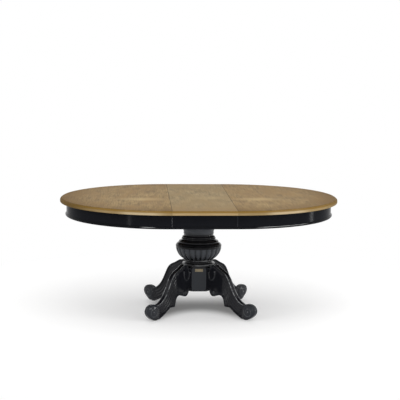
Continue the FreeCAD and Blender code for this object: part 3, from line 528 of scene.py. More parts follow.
@dataclass(frozen=True)
class StudioPaper(Finish):
    """Matt white paper of the studio floor.

    What looks at it sees the paper with a painted glow added, as if lit from behind, but for a core close
    under the pedestal with no glow and a darker grey, a painted shadow, so that only the table's shadow shows
    on it, and far from the table it is plain white. Light that bounces meets plain paper on a dark studio
    floor. Reaches are in metres.
    """

    # Away from the core the paper gets a painted glow; in the core it has the deep grey, a painted shadow.
    lit: str = "#dddddd"
    deep: str = "#bcbcbc"
    paper: str = "#e8e8e8"
    studio: str = "#585858"
    glow: float = 0.4
    paper_edge: tuple[float, float] = (2.2, 3.0)
    white_from: tuple[float, float] = (1.2, 2.2)
    shadow_front: tuple[float, float] = (-0.16, 0.07)
    shadow_bend: float = 3.0
    shadow_side: tuple[float, float] = (0.22, 0.36)
    shadow_rear: tuple[float, float] = (0.1, 0.5)

    def surface(self, tree: bpy.types.NodeTree) -> bpy.types.Node:
        """Adds the nodes of the finish.

        Args:
            tree: the node tree that takes them.

        Returns:
            The node of its shader.
        """
        place = add_node(tree, "TexCoord").outputs["Object"]
        reach = add_node(tree, "VectorMath", {"operation": "LENGTH"}, {0: place})
        x, y, _ = add_node(tree, "SeparateXYZ", {}, {0: place}).outputs
        # Painted shadow core: its front edge follows y = -bend x x, so it shows as an arch between the legs.
        side = add_node(tree, "Math", {"operation": "MULTIPLY"}, {0: x, 1: x})
        front = add_node(tree, "Math", {"operation": "MULTIPLY_ADD", 1: self.shadow_bend}, {0: side, 2: y})
        soft = {"interpolation_type": Fade.SOFT.value}
        low, high = self.shadow_front
        core = add_node(tree, "MapRange", soft | {"From Min": low, "From Max": high}, {"Value": front})
        inner, outer = self.shadow_side
        for value, (low, high) in ((side, (inner**2, outer**2)), (y, self.shadow_rear)):
            values = soft | {"From Min": low, "From Max": high, "To Max": 0.0}
            core = add_node(tree, "MapRange", values, {"Value": value, "To Min": core})
        # Lit paper with a painted glow, and the deep grey of the painted shadow in the core.
        lit = add_node(tree, "BsdfDiffuse", {"Color": linear(self.lit)})
        deep = add_node(tree, "BsdfDiffuse", {"Color": linear(self.deep)})
        glow = add_node(tree, "Emission", {"Strength": self.glow})
        white = add_node(tree, "Emission", {"Strength": 1.0})
        bright = add_node(tree, "AddShader", {}, {0: lit, 1: glow})
        seen = add_node(tree, "MixShader", {}, {0: core, 1: bright, 2: deep})
        low, high = self.white_from
        far = add_node(tree, "MapRange", soft | {"From Min": low, "From Max": high}, {"Value": reach})
        seen = add_node(tree, "MixShader", {}, {0: far, 1: seen, 2: white})
        shade = stained(tree, self.paper, self.studio, reach, self.paper_edge)
        plain = add_node(tree, "BsdfDiffuse", {}, {"Color": shade})
        return add_node(tree, "MixShader", {}, {0: shown_rays(tree), 1: plain, 2: seen})


# Curves and surfaces
def arc_through(start: tuple, middle: tuple, end: tuple, count: int = 14) -> np.ndarray:
    """Points on the circle through three points: centre from two perpendicular bisectors, then even angles.

    Args:
        start: first point.
        middle: a point that the arc passes.
        end: last point.
        count: how many points, ends included.

    Returns:
        An array of points, one a row.
    """
    a, b, c = (np.array(p, float) for p in (start, middle, end))
    sides = np.stack([b - a, c - a])
    centre = np.linalg.solve(2.0 * sides, np.array([b @ b - a @ a, c @ c - a @ a]))
    angles = np.unwrap([math.atan2(*(p - centre)[::-1]) for p in (a, b, c)])
    turn = np.linspace(angles[0], angles[2], count)
    radius = np.linalg.norm(a - centre)
    return centre + radius * np.stack([np.cos(turn), np.sin(turn)], axis=-1)


def joined(*runs: np.ndarray | list) -> np.ndarray:
    """Strings runs of points together and drops a point that repeats the one before it.

    Args:
        runs: points of each run, one a row.

    Returns:
        The points of them all, one a row.
    """
    points = np.concatenate([np.atleast_2d(np.array(run, float)) for run in runs])
    keep = np.ones(len(points), bool)
    keep[1:] = np.linalg.norm(np.diff(points, axis=0), axis=1) > 1e-6
    return points[keep]


def running(points: np.ndarray) -> np.ndarray:
    """Length along a run of points, from 0 at its first."""
    return np.concatenate([[0.0], np.cumsum(np.linalg.norm(np.diff(points, axis=0), axis=1))])


def spline_through(points: list[tuple[float, float]], step: float = 1.0) -> np.ndarray:
    """Smooth curve through points: a cubic in each span, equal slope and bend where spans meet.

    The parameter is chord length, and the end slopes are those of one cubic through the nearest four points.

    Args:
        points: what the curve passes, in order.
        step: about how far apart the sampled points are.

    Returns:
        An array of points on the curve, one a row.
    """
    knots = np.array(points, float)
    chord = running(knots)
    count = len(knots)
    near = min(4, count)
    powers = np.arange(near - 1, 0, -1)[:, None]
    span = np.diff(chord)
    rise = np.diff(knots, axis=0) / span[:, None]
    right = np.empty_like(knots)
    right[1:-1] = 3.0 * (span[1:, None] * rise[:-1] + span[:-1, None] * rise[1:])
    for end, part in ((0, slice(None, near)), (-1, slice(-near, None))):
        cubic = np.polyfit(chord[part], knots[part], near - 1)
        right[end] = (cubic[:-1] * powers * chord[end] ** (powers - 1)).sum(axis=0)
    system = np.eye(count)
    inner = np.arange(1, count - 1)
    system[inner, inner - 1] = span[1:]
    system[inner, inner] = 2.0 * (span[:-1] + span[1:])
    system[inner, inner + 1] = span[:-1]
    slopes = np.linalg.solve(system, right)
    where = np.linspace(0.0, chord[-1], max(2, int(chord[-1] / step) + 1))
    piece = np.clip(np.searchsorted(chord, where, side="right") - 1, 0, count - 2)
    size = span[piece][:, None]
    t = ((where - chord[piece])[:, None]) / size
    blend = [2 * t**3 - 3 * t**2 + 1, t**3 - 2 * t**2 + t, -2 * t**3 + 3 * t**2, t**3 - t**2]
    ends = blend[0] * knots[piece] + blend[2] * knots[piece + 1]
    return ends + size * (blend[1] * slopes[piece] + blend[3] * slopes[piece + 1])


def along(points: np.ndarray, share: np.ndarray) -> np.ndarray:
    """Points at given shares of a run's length, by straight interpolation."""
    length = running(points)
    return np.stack([np.interp(share * length[-1], length, axis) for axis in points.T], axis=-1)


def nearest(points: np.ndarray, curve: np.ndarray) -> np.ndarray:
    """Distance from each point of a grid to the closest point of a curve."""
    gaps = points[..., None, :] - curve
    return np.sqrt((gaps**2).sum(axis=-1).min(axis=-1))


def step_between(values: np.ndarray, low: float, high: float) -> np.ndarray:
    """Rises smoothly from 0 at low to 1 at high."""
    t = np.clip((values - low) / (high - low), 0.0, 1.0)
    return t * t * (3.0 - 2.0 * t)


def window(values: np.ndarray, start: float, full: float, last: float, end: float) -> np.ndarray:
    """Rises smoothly from 0 at start to 1 at full, and falls to 0 again from last to end."""
    return step_between(values, start, full) * (1.0 - step_between(values, last, end))


def hill(distance: np.ndarray, reach: float) -> np.ndarray:
    """Falls off from 1 as exp(-(distance / reach) squared)."""
    return np.exp(-((distance / reach) ** 2))


def quarter(share: np.ndarray) -> np.ndarray:
    """A quarter round: sinks from 0 to 1 as its share goes from 0 to 1."""
    return 1.0 - np.sqrt(1.0 - share**2)


def round_of(radius: np.ndarray, height: np.ndarray, steps: int) -> np.ndarray:
    """Carries a profile round the Z axis: x = r cos a, y = r sin a, z = h, over a full turn.

    Args:
        radius: radii, one a row, or one a row and column where they change with the angle.
        height: heights, one a row.
        steps: columns in the full turn.

    Returns:
        A grid of points whose last column lies on its first.
    """
    angle = np.linspace(0.0, 2.0 * math.pi, steps + 1)
    wide = np.broadcast_to(radius if radius.ndim == 2 else radius[:, None], (len(height), steps + 1))
    tall = np.broadcast_to(height[:, None], wide.shape)
    return np.stack([wide * np.cos(angle), wide * np.sin(angle), tall], axis=-1)


def add_object(name: str, data: bpy.types.ID) -> bpy.types.Object:
    """Makes an object at the origin and links it to the scene.

    Args:
        name: its name.
        data: its mesh, light or camera.

    Returns:
        The new object.
    """
    made = bpy.data.objects.new(name, data)
    bpy.context.scene.collection.objects.link(made)
    return made


@dataclass
class Shell:
    """A closed mesh from a grid of points in millimetres, with three marks a point for the finish to read.

    Each cell of the grid is a four-sided face, and a flat cap closes each of the rings in the capped rows.
    """

    points: np.ndarray
    marks: np.ndarray | None = None
    capped: tuple[int, ...] = ()

    def build(self, name: str, crease: float = 34.0) -> bpy.types.Object:
        """Makes the object: doubles merged, faces outward, smooth but for edges sharper than the crease.

        Args:
            name: the piece's name.
            crease: angle in degrees past which an edge stays sharp.

        Returns:
            The new object, at the origin.
        """
        rows, columns = self.points.shape[:2]
        index = np.arange(rows * columns).reshape(rows, columns)
        corners = [index[:-1, :-1], index[1:, :-1], index[1:, 1:], index[:-1, 1:]]
        faces = np.stack(corners, axis=-1).reshape(-1, 4).tolist()
        faces += [index[row, :-1].tolist() for row in self.capped]
        mesh = bpy.data.meshes.new(name)
        mesh.from_pydata(self.points.reshape(-1, 3) * MM, [], faces)
        marks = np.zeros_like(self.points) if self.marks is None else self.marks
        mark = mesh.attributes.new("mark", "FLOAT_VECTOR", "POINT")
        mark.data.foreach_set("vector", marks.astype(np.float32).ravel())
        work = bmesh.new()
        work.from_mesh(mesh)
        bmesh.ops.remove_doubles(work, verts=work.verts, dist=2e-6)
        bmesh.ops.dissolve_degenerate(work, edges=work.edges, dist=1e-7)
        bmesh.ops.recalc_face_normals(work, faces=work.faces)
        work.to_mesh(mesh)
        work.free()
        mesh.polygons.foreach_set("use_smooth", np.ones(len(mesh.polygons), bool))
        mesh.set_sharp_from_angle(angle=math.radians(crease))
        return add_object(name, mesh)


def place_piece(
    piece: bpy.types.Object, body: str, node: str, material: bpy.types.Material
) -> None:
    """Dresses a new piece, lets it ride on its body and stand for its node, and logs it.

    Args:
        piece: the new object.
        body: the body that carries it.
        node: the CAD node that it replaces.
        material: its finish.
    """
    piece.data.materials.append(material)
    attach(piece, body)
    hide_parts(node)
    log.info("%s: %d faces, rides on %s", piece.name, len(piece.data.polygons), body)


def dress_nodes(nodes: list[str], material: bpy.types.Material) -> None:
    """Gives CAD nodes that stay in view a finish, and logs them.

    Args:
        nodes: names of the nodes.
        material: their finish.
    """
    for name in nodes:
        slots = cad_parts[name].data.materials
        slots.clear()
        slots.append(material)
    log.info("%s: %s", material.name, ", ".join(nodes))


# Table top
@dataclass
class TableTop:
    """The oak panels, their moulded edge, the apron and its bead, on two halves and the leaf."""

    height: float = 755.0
    end_radius: float = 705.0
    half_edge: float = 195.0
    leaf_half: float = 194.5
    thick: float = 30.0
    seat_gap: float = 0.2
    band_width: float = 40.0
    lip_inset: float = 12.0
    lip_thick: float = 4.0
    quirk_depth: float = 2.0
    ovolo_drop: float = 16.0
    flat_below: float = 4.0
    lower_round: float = 4.0
    band_lift: float = 3.0
    apron_inset: float = 40.0
    apron_thick: float = 22.0
    apron_height: float = 83.5
    apron_row: float = 40.0
    arris: float = 1.0
    bead_proud: float = 7.0
    bead_round: float = 12.0
    bead_cove: float = 4.0
    bead_fillet: float = 3.0
    bead_edge: float = 1.0
    bead_crest: float = 15.3
    crest_reach: float = 1.6
    # Stretches along the run of each bead that carry a painted highlight on the crest.
    left_highlight: tuple[float, ...] = (90.0, 125.0, 165.0, 200.0)
    right_highlight: tuple[float, ...] = (107.0, 154.0, 439.0, 505.0)
    glue_line: float = 0.05
    turn_steps: int = 200
    leaf_steps: int = 24
    half_highlight: tuple[float, float] = (380.0, -145.0)
    leaf_pale: tuple[float, float] = (50.0, -80.0)
    joint_mm: float = 195.25

    @property
    def apron_face(self) -> float:
        """Radius of the apron's outer face."""
        return self.end_radius - self.apron_inset

    @property
    def apron_foot(self) -> float:
        """Height of the apron's lower edge."""
        return self.height - self.thick - self.apron_height

    def band_profile(self, underside: float) -> np.ndarray:
        """Section of the edge band, from the quirk outward over the ovolo, down, and back under the lip.

        Args:
            underside: height of the panel's underside.

        Returns:
            Radius and height of each point of the closed section, first point repeated at its end.
        """
        rim = self.end_radius
        inner = rim - self.band_width + self.glue_line
        lip = rim - self.lip_inset + self.glue_line
        under_lip = self.height - self.lip_thick - self.glue_line
        quirk = self.height - self.quirk_depth
        widest = self.height - self.ovolo_drop
        swell = math.sqrt(0.5)
        ovolo = (lip + (rim - lip) * swell, widest + (quirk - widest) * swell)
        low = self.lower_round
        foot = underside + self.band_lift
        lower = (rim - low * (1 - swell), foot + low * (1 - swell))
        return joined(
            arc_through((lip, quirk), ovolo, (rim, widest), 18),
            [(rim, widest - self.flat_below)],
            arc_through((rim, foot + low), lower, (rim - low, foot), 8),
            [(inner, foot), (inner, under_lip), (lip, under_lip), (lip, quirk)],
        )

    def apron_profile(self, underside: float) -> np.ndarray:
        """Section of the apron board with its lower arrises eased, outer face first.

        Args:
            underside: height of the panel's underside, which the apron meets.

        Returns:
            Radius and height of each point of the closed section.
        """
        outer, foot, ease = self.apron_face, self.apron_foot, self.arris
        inner = outer - self.apron_thick
        return joined(
            [(outer, underside), (outer, foot + self.apron_row), (outer, foot + ease)],
            [(outer - ease, foot), (inner + ease, foot)],
            [(inner, foot + ease), (inner, underside), (outer, underside)],
        )

    def bead_profile(self) -> np.ndarray:
        """Section of the bead: half round at the foot, fillet, then a cove up to a thin edge.

        Returns:
            Radius and height of each point of the closed section.
        """
        foot = self.apron_foot
        back = self.apron_face + self.glue_line
        front = self.apron_face + self.bead_proud
        neck = front - self.bead_fillet
        top = foot + self.bead_round
        thin = back + self.bead_edge
        depth = neck - thin
        radius = (depth**2 + self.bead_cove**2) / (2.0 * depth)
        lean = math.asin(self.bead_cove / radius) / 2.0
        cove_top = top + self.bead_cove
        cove = (thin + radius * (1.0 - math.cos(lean)), cove_top - radius * math.sin(lean))
        return joined(
            [(back, foot)],
            arc_through((neck, foot), (front, foot + self.bead_round / 2.0), (neck, top), 16),
            arc_through((neck, top), cove, (thin, cove_top), 10),
            [(back, cove_top), (back, foot)],
        )

    def carried(self, profile: np.ndarray, origin: np.ndarray, outward: np.ndarray) -> Shell:
        """Carries a section along a path: point = origin + radius times outward, at the section's height.

        Args:
            profile: radius and height of the section, closed.
            origin: where the radius starts, one point a step of the path.
            outward: unit direction of the radius, one a step of the path.

        Returns:
            The closed shell, whose marks are metres along the path and metres round the section.
        """
        flat = origin[:, None, :] + profile[None, :, 0, None] * outward[:, None, :]
        tall = np.broadcast_to(profile[:, 1], flat.shape[:2])
        grid = np.concatenate([flat, tall[..., None]], axis=-1)
        run, girth = np.meshgrid(running(grid[:, 0]) * MM, running(profile) * MM, indexing="ij")
        return Shell(grid, np.stack([run, girth, np.zeros_like(run)], axis=-1), (0, -1))

    def round_half(self, profile: np.ndarray, side: Side) -> Shell:
        """Carries a section round the half circle of one end, centred on the end's joint line.

        Args:
            profile: radius and height of the section, closed.
            side: which half.

        Returns:
            The closed shell.
        """
        angle = np.linspace(0.5 * math.pi, 1.5 * math.pi, self.turn_steps + 1)
        outward = side.value * np.stack([np.cos(angle), np.sin(angle)], axis=-1)
        origin = np.broadcast_to([-side.value * self.half_edge, 0.0], outward.shape)
        return self.carried(profile, origin, outward)

    def along_leaf(self, profile: np.ndarray, edge: Edge) -> Shell:
        """Carries a section straight along one edge of the leaf.

        Args:
            profile: radius and height of the section, closed.
            edge: which edge.

        Returns:
            The closed shell.
        """
        x = np.linspace(-self.leaf_half, self.leaf_half, self.leaf_steps + 1)
        origin = np.stack([x, np.zeros_like(x)], axis=-1)
        return self.carried(profile, origin, np.broadcast_to([0.0, edge.value], origin.shape))

    def paint_crest_highlight(self, bead: Shell, side: Side) -> None:
        """Marks a painted highlight on the crest of a bead, over a stretch beside the front joint.

        The share of painted highlight is a hill round the section about the crest, and fades in and out along
        the run. It takes the place of the run and girth in the bead's marks.

        Args:
            bead: the shell of a half's bead.
            side: which half it is on.
        """
        run, girth = bead.marks[..., 0] / MM, bead.marks[..., 1] / MM
        front = run if side is Side.RIGHT else run.max() - run
        stretch = self.right_highlight if side is Side.RIGHT else self.left_highlight
        bead.marks = np.zeros_like(bead.marks)
        bead.marks[..., 0] = window(front, *stretch) * hill(girth - self.bead_crest, self.crest_reach)

    def place_runs(self, shells: list[Shell], prefix: str, body: str, names: tuple, finishes: tuple) -> None:
        """Makes the band, apron and bead of a half or of one edge of the leaf.

        Args:
            shells: the three shells.
            prefix: what the names of the pieces and of their nodes start with.
            body: the body that carries them.
            names: how the pieces' names end.
            finishes: their materials.
        """
        nodes = ("edge_band", "apron", "apron_bead")
        slots = ("oak_edge", "black_apron", "black_bead")
        for shell, name, node, slot, finish in zip(shells, names, nodes, slots, finishes):
            place_piece(shell.build(prefix + name), body, prefix + node, finish)

    def build(self) -> None:
        """Builds and dresses the whole top."""
        gold = MouldedOak("end_oak_run_to_moulding_satin", "#ad966d", "#967c52").material()
        pale = MouldedOak("leaf_oak_run_to_moulding_satin", "#c4ab80", "#ab8e5f").material()
        tones = ("#1b1c20", "#212328", (0.1, 0.16), 0.009)
        black = BlackLacquer("apron_black_lacquer_rubbed", *tones, joint_mm=self.joint_mm).material()
        tones = ("#16171a", "#1c1e22", (0.12, 0.18), 0.025)
        bead = BlackLacquer("bead_black_lacquer_gloss", *tones).material()
        # The bead of each half carries a painted highlight on its crest.
        crest = BlackLacquer("bead_black_lacquer_painted_highlight", *tones, True, broken_mm=60.0, broken=0.6)
        rubbed = crest.material()
        under = self.height - self.thick
        sections = [self.band_profile(under), self.apron_profile(under), self.bead_profile()]
        names = ("moulded_edge", "apron_curve", "bead_curve")
        for side in Side:
            prefix = side.name.lower() + "_"
            shells = [self.round_half(section, side) for section in sections]
            self.paint_crest_highlight(shells[-1], side)
            self.place_runs(shells, prefix, prefix + "half", names, (gold, black, rubbed))
        under += self.seat_gap
        sections = [self.band_profile(under), self.apron_profile(under), self.bead_profile()]
        names = ("moulded_edge", "apron_board", "bead_run")
        for edge in Edge:
            shells = [self.along_leaf(section, edge) for section in sections]
            self.place_runs(shells, f"leaf_{edge.name.lower()}_", "leaf", names, (pale, black, bead))
        self.dress_panels()

    def dress_panels(self) -> None:
        """Stains the three panels: warm ends and a greyer leaf, each with a painted highlight and painted
        shade.
        """
        x, y = self.half_highlight
        # Pale, dark and warm stain, then painted shade at the rim and a painted highlight.
        tones = ("#a0875c", "#7e6640", "#8f7246", "#674a18", "#c2a878")
        for side in Side:
            name = side.name.lower()
            oak = RubbedOak(name + "_oak_veneer_stain_and_painted_light", *tones, (-side.value * x, y, self.height))
            dress_nodes([name + "_top_panel"], oak.material())
        # The leaf's stain, painted shade at the rim and a painted highlight.
        tones = ("#a08b66", "#7f6c48", "#8f7850", "#8a7048", "#a89168")
        middle = (*self.leaf_pale, self.height)
        leaf = RubbedOak("leaf_oak_veneer_stain_and_painted_light", *tones, middle, streak=(0.78, 1.2))
        dress_nodes(["leaf_panel"], leaf.material())


# Pedestal
@dataclass
class Pedestal:
    """The turned pieces on the column: base ring, gadrooned bowl, shoulder and neck."""

    column_top: float = 295.0
    ring_top: float = 347.0
    bowl_top: float = 442.0
    shoulder_top: float = 493.0
    neck_foot: float = 513.0
    board_bottom: float = 655.0
    lobes: int = 24
    lobe_steps: int = 20
    lobe_depth: float = 7.0
    lobe_round: float = 0.92
    lobe_first: float = -94.4
    lobe_tip: float = 34.0
    lobe_inner: float = 90.0
    lobe_width: tuple[float, float] = (0.4, 0.94)
    lobe_span: tuple[float, ...] = (0.0, 3.0, 74.0, 81.0)
    # Painted sheen on the lobes, and painted shade in the valleys.
    lobe_sheen: tuple[float, float] = (0.55, 0.85)
    sheen_span: tuple[float, float] = (0.0, 50.0)
    valley_shade: tuple[float, float] = (1.2, 0.5)
    turn_steps: int = 160
    # Painted highlight on proud beads of the turnings.
    highlight_reach: float = 9.0
    highlight_proud: tuple[float, float] = (0.3, 2.2)
    ring_highlight: float = 0.3
    shoulder_highlight: float = 0.08

    def ring_profile(self) -> np.ndarray:
        """Base ring from its foot: plain foot, half round, deep cove, half round under the bowl.

        Returns:
            Radius and height of each point.
        """
        foot = self.column_top
        return joined(
            [(0.0, foot), (50.0, foot), (97.0, foot), (97.0, foot + 13.0)],
            arc_through((101.0, foot + 13.0), (107.0, foot + 19.0), (101.0, foot + 25.0), 14),
            arc_through((98.0, foot + 26.0), (90.5, foot + 33.5), (94.0, foot + 41.0), 14),
            arc_through((95.0, foot + 42.0), (100.0, foot + 47.0), (95.0, self.ring_top), 12),
            [(50.0, self.ring_top), (0.0, self.ring_top)],
        )

    def bowl_profile(self) -> np.ndarray:
        """Bowl from its foot: one arc out to its widest, then the lip turned in.

        Returns:
            Radius and height of each point.
        """
        foot, top = self.ring_top, self.bowl_top
        widest = (149.0, top - 13.0)
        wall = arc_through((98.0, foot), (140.0, top - 53.0), widest, 60)
        lip = arc_through(widest, (149.3, top - 5.0), (146.0, top), 10)
        return joined([(0.0, foot), (46.0, foot)], wall, lip, [(70.0, top), (0.0, top)])

    def shoulder_profile(self) -> np.ndarray:
        """Shoulder from its rim: round, bead, hollow, two small beads, then a cove round the neck's foot.

        Returns:
            Radius and height of each point.
        """
        low, high = self.bowl_top, self.shoulder_top
        return joined(
            [(0.0, low), (70.0, low)],
            arc_through((146.0, low), (143.5, low + 5.0), (137.5, low + 8.0), 10),
            [(132.0, low + 13.0)],
            arc_through((129.0, low + 13.5), (130.5, low + 19.0), (124.5, low + 24.0), 10),
            arc_through((121.0, low + 24.5), (114.0, low + 29.5), (110.5, low + 36.0), 10),
            arc_through((108.5, low + 36.5), (111.5, low + 40.5), (107.5, low + 44.0), 10),
            arc_through((104.5, low + 44.5), (107.5, low + 48.5), (104.0, high + 2.0), 10),
            arc_through((102.0, high + 3.0), (97.0, high + 11.0), (98.5, self.neck_foot), 12),
            [(80.0, self.neck_foot), (80.0, high), (40.0, high), (0.0, high)],
        )

    def neck_profile(self) -> np.ndarray:
        """Neck from its foot: a core inside the shoulder's cove, then a hollow that flares to the drum.

        Returns:
            Radius and height of each point.
        """
        core, foot, top = self.shoulder_top, self.neck_foot, self.board_bottom
        flare = core + 60.0
        return joined(
            [(0.0, core), (40.0, core), (79.0, core), (79.0, foot + 0.5)],
            arc_through((99.5, foot + 0.5), (98.6, foot + 14.0), (117.0, flare), 24),
            [(121.0, flare), (122.0, flare + 1.0), (122.0, top), (50.0, top), (0.0, top)],
        )

    def turned(self, profile: np.ndarray, worn: float) -> Shell:
        """Turns a profile that starts and ends on the axis into a closed shell.

        A point gets a painted highlight by how far its radius passes the mean radius of the profile near it,
        where nearness is a hill along the profile.

        Args:
            profile: radius and height of each point.
            worn: the greatest share of painted highlight.

        Returns:
            The closed shell, whose first mark is the share of painted highlight.
        """
        radius = profile[:, 0]
        run = running(profile)
        weight = hill(run[:, None] - run, self.highlight_reach) * np.gradient(run)
        proud = radius - (weight * radius).sum(axis=1) / weight.sum(axis=1)
        grid = round_of(radius, profile[:, 1], self.turn_steps)
        marks = np.zeros(grid.shape)
        marks[..., 0] = (worn * step_between(proud, *self.highlight_proud))[:, None]
        return Shell(grid, marks)

    def gadrooned(self) -> Shell:
        """Turns the bowl and sinks the valleys between its lobes.

        Across a lobe g runs from -1 to 1 over its width, and the surface sinks by depth times
        1 - sqrt(1 - 0.92 g g) over its greatest value, so each lobe is a round and each valley sharp. Near
        the foot a lobe narrows to a round tip, which leaves almond gaps at full depth. The depth fades at the
        lip.

        Returns:
            The closed shell, whose last mark is painted sheen, full on the lobes and less towards the foot,
            and less in the valleys as painted shade.
        """
        radius, height = self.bowl_profile().T
        above = height - self.ring_top
        steps = self.lobes * self.lobe_steps
        angle = np.linspace(0.0, self.lobes, steps + 1) - self.lobe_first * self.lobes / 360.0
        across = 2.0 * (angle + 0.5 - np.floor(angle + 0.5)) - 1.0
        tip = np.clip(above / self.lobe_tip, 0.0, 1.0)[:, None]
        narrow, wide = self.lobe_width
        g = np.clip(across / (narrow + (wide - narrow) * np.sqrt(1.0 - (1.0 - tip) ** 2)), -1.0, 1.0)
        sunk = (1.0 - np.sqrt(1.0 - self.lobe_round * g**2)) / (1.0 - math.sqrt(1.0 - self.lobe_round))
        fade = (window(above, *self.lobe_span) * (radius > self.lobe_inner))[:, None]
        grid = round_of(radius[:, None] - self.lobe_depth * fade * sunk, height, steps)
        # Painted sheen on the lobes, less towards the foot, and painted shade in the valleys.
        low, high = self.lobe_sheen
        full = low + (high - low) * step_between(above, *self.sheen_span)[:, None]
        foot, body = self.valley_shade
        marks = np.zeros(grid.shape)
        marks[..., 2] = np.clip(fade * (full - (foot + (body - foot) * tip) * sunk), 0.0, 1.0)
        return Shell(grid, marks)

    def build(self) -> None:
        """Builds and dresses the turned pieces and the column."""
        tones = ("#1a1a1d", "#222225", (0.1, 0.16), 0.2)
        gloss = BlackLacquer("turning_black_lacquer_gloss", *tones, True, broken_mm=75.0).material()
        tones = ("#494b4f", "#54575b", (0.36, 0.48), 0.15)
        satin = BlackLacquer("neck_black_lacquer_satin", *tones).material()
        # The bowl's grey is painted sheen on its lobes.
        tones = ("#0c0c0e", "#4f5257", (0.22, 0.32), 0.13)
        carved = BlackLacquer("bowl_carved_black_lacquer", *tones, True, cloud_share=0.08).material()
        # The column's grey is a painted reflection of the floor on black lacquer.
        tones = ("#34373c", "#3b3e44", (0.28, 0.38), 0.2)
        plane = BlackLacquer("column_black_lacquer_painted_reflection", *tones).material()
        ring = self.turned(self.ring_profile(), self.ring_highlight)
        shoulder = self.turned(self.shoulder_profile(), self.shoulder_highlight)
        neck = self.turned(self.neck_profile(), 0.0)
        for shell, name, node, slot, finish in (
            (ring, "ring_turning", "base_ring", "black_turned", gloss),
            (self.gadrooned(), "bowl_carving", "gadrooned_bowl", "black_bowl", carved),
            (shoulder, "shoulder_turning", "shoulder_ring", "black_turned", gloss),
            (neck, "neck_turning", "neck_drum", "grey_neck", satin),
        ):
            place_piece(shell.build(name), "pedestal", node, finish)
        dress_nodes(["column"], plane)


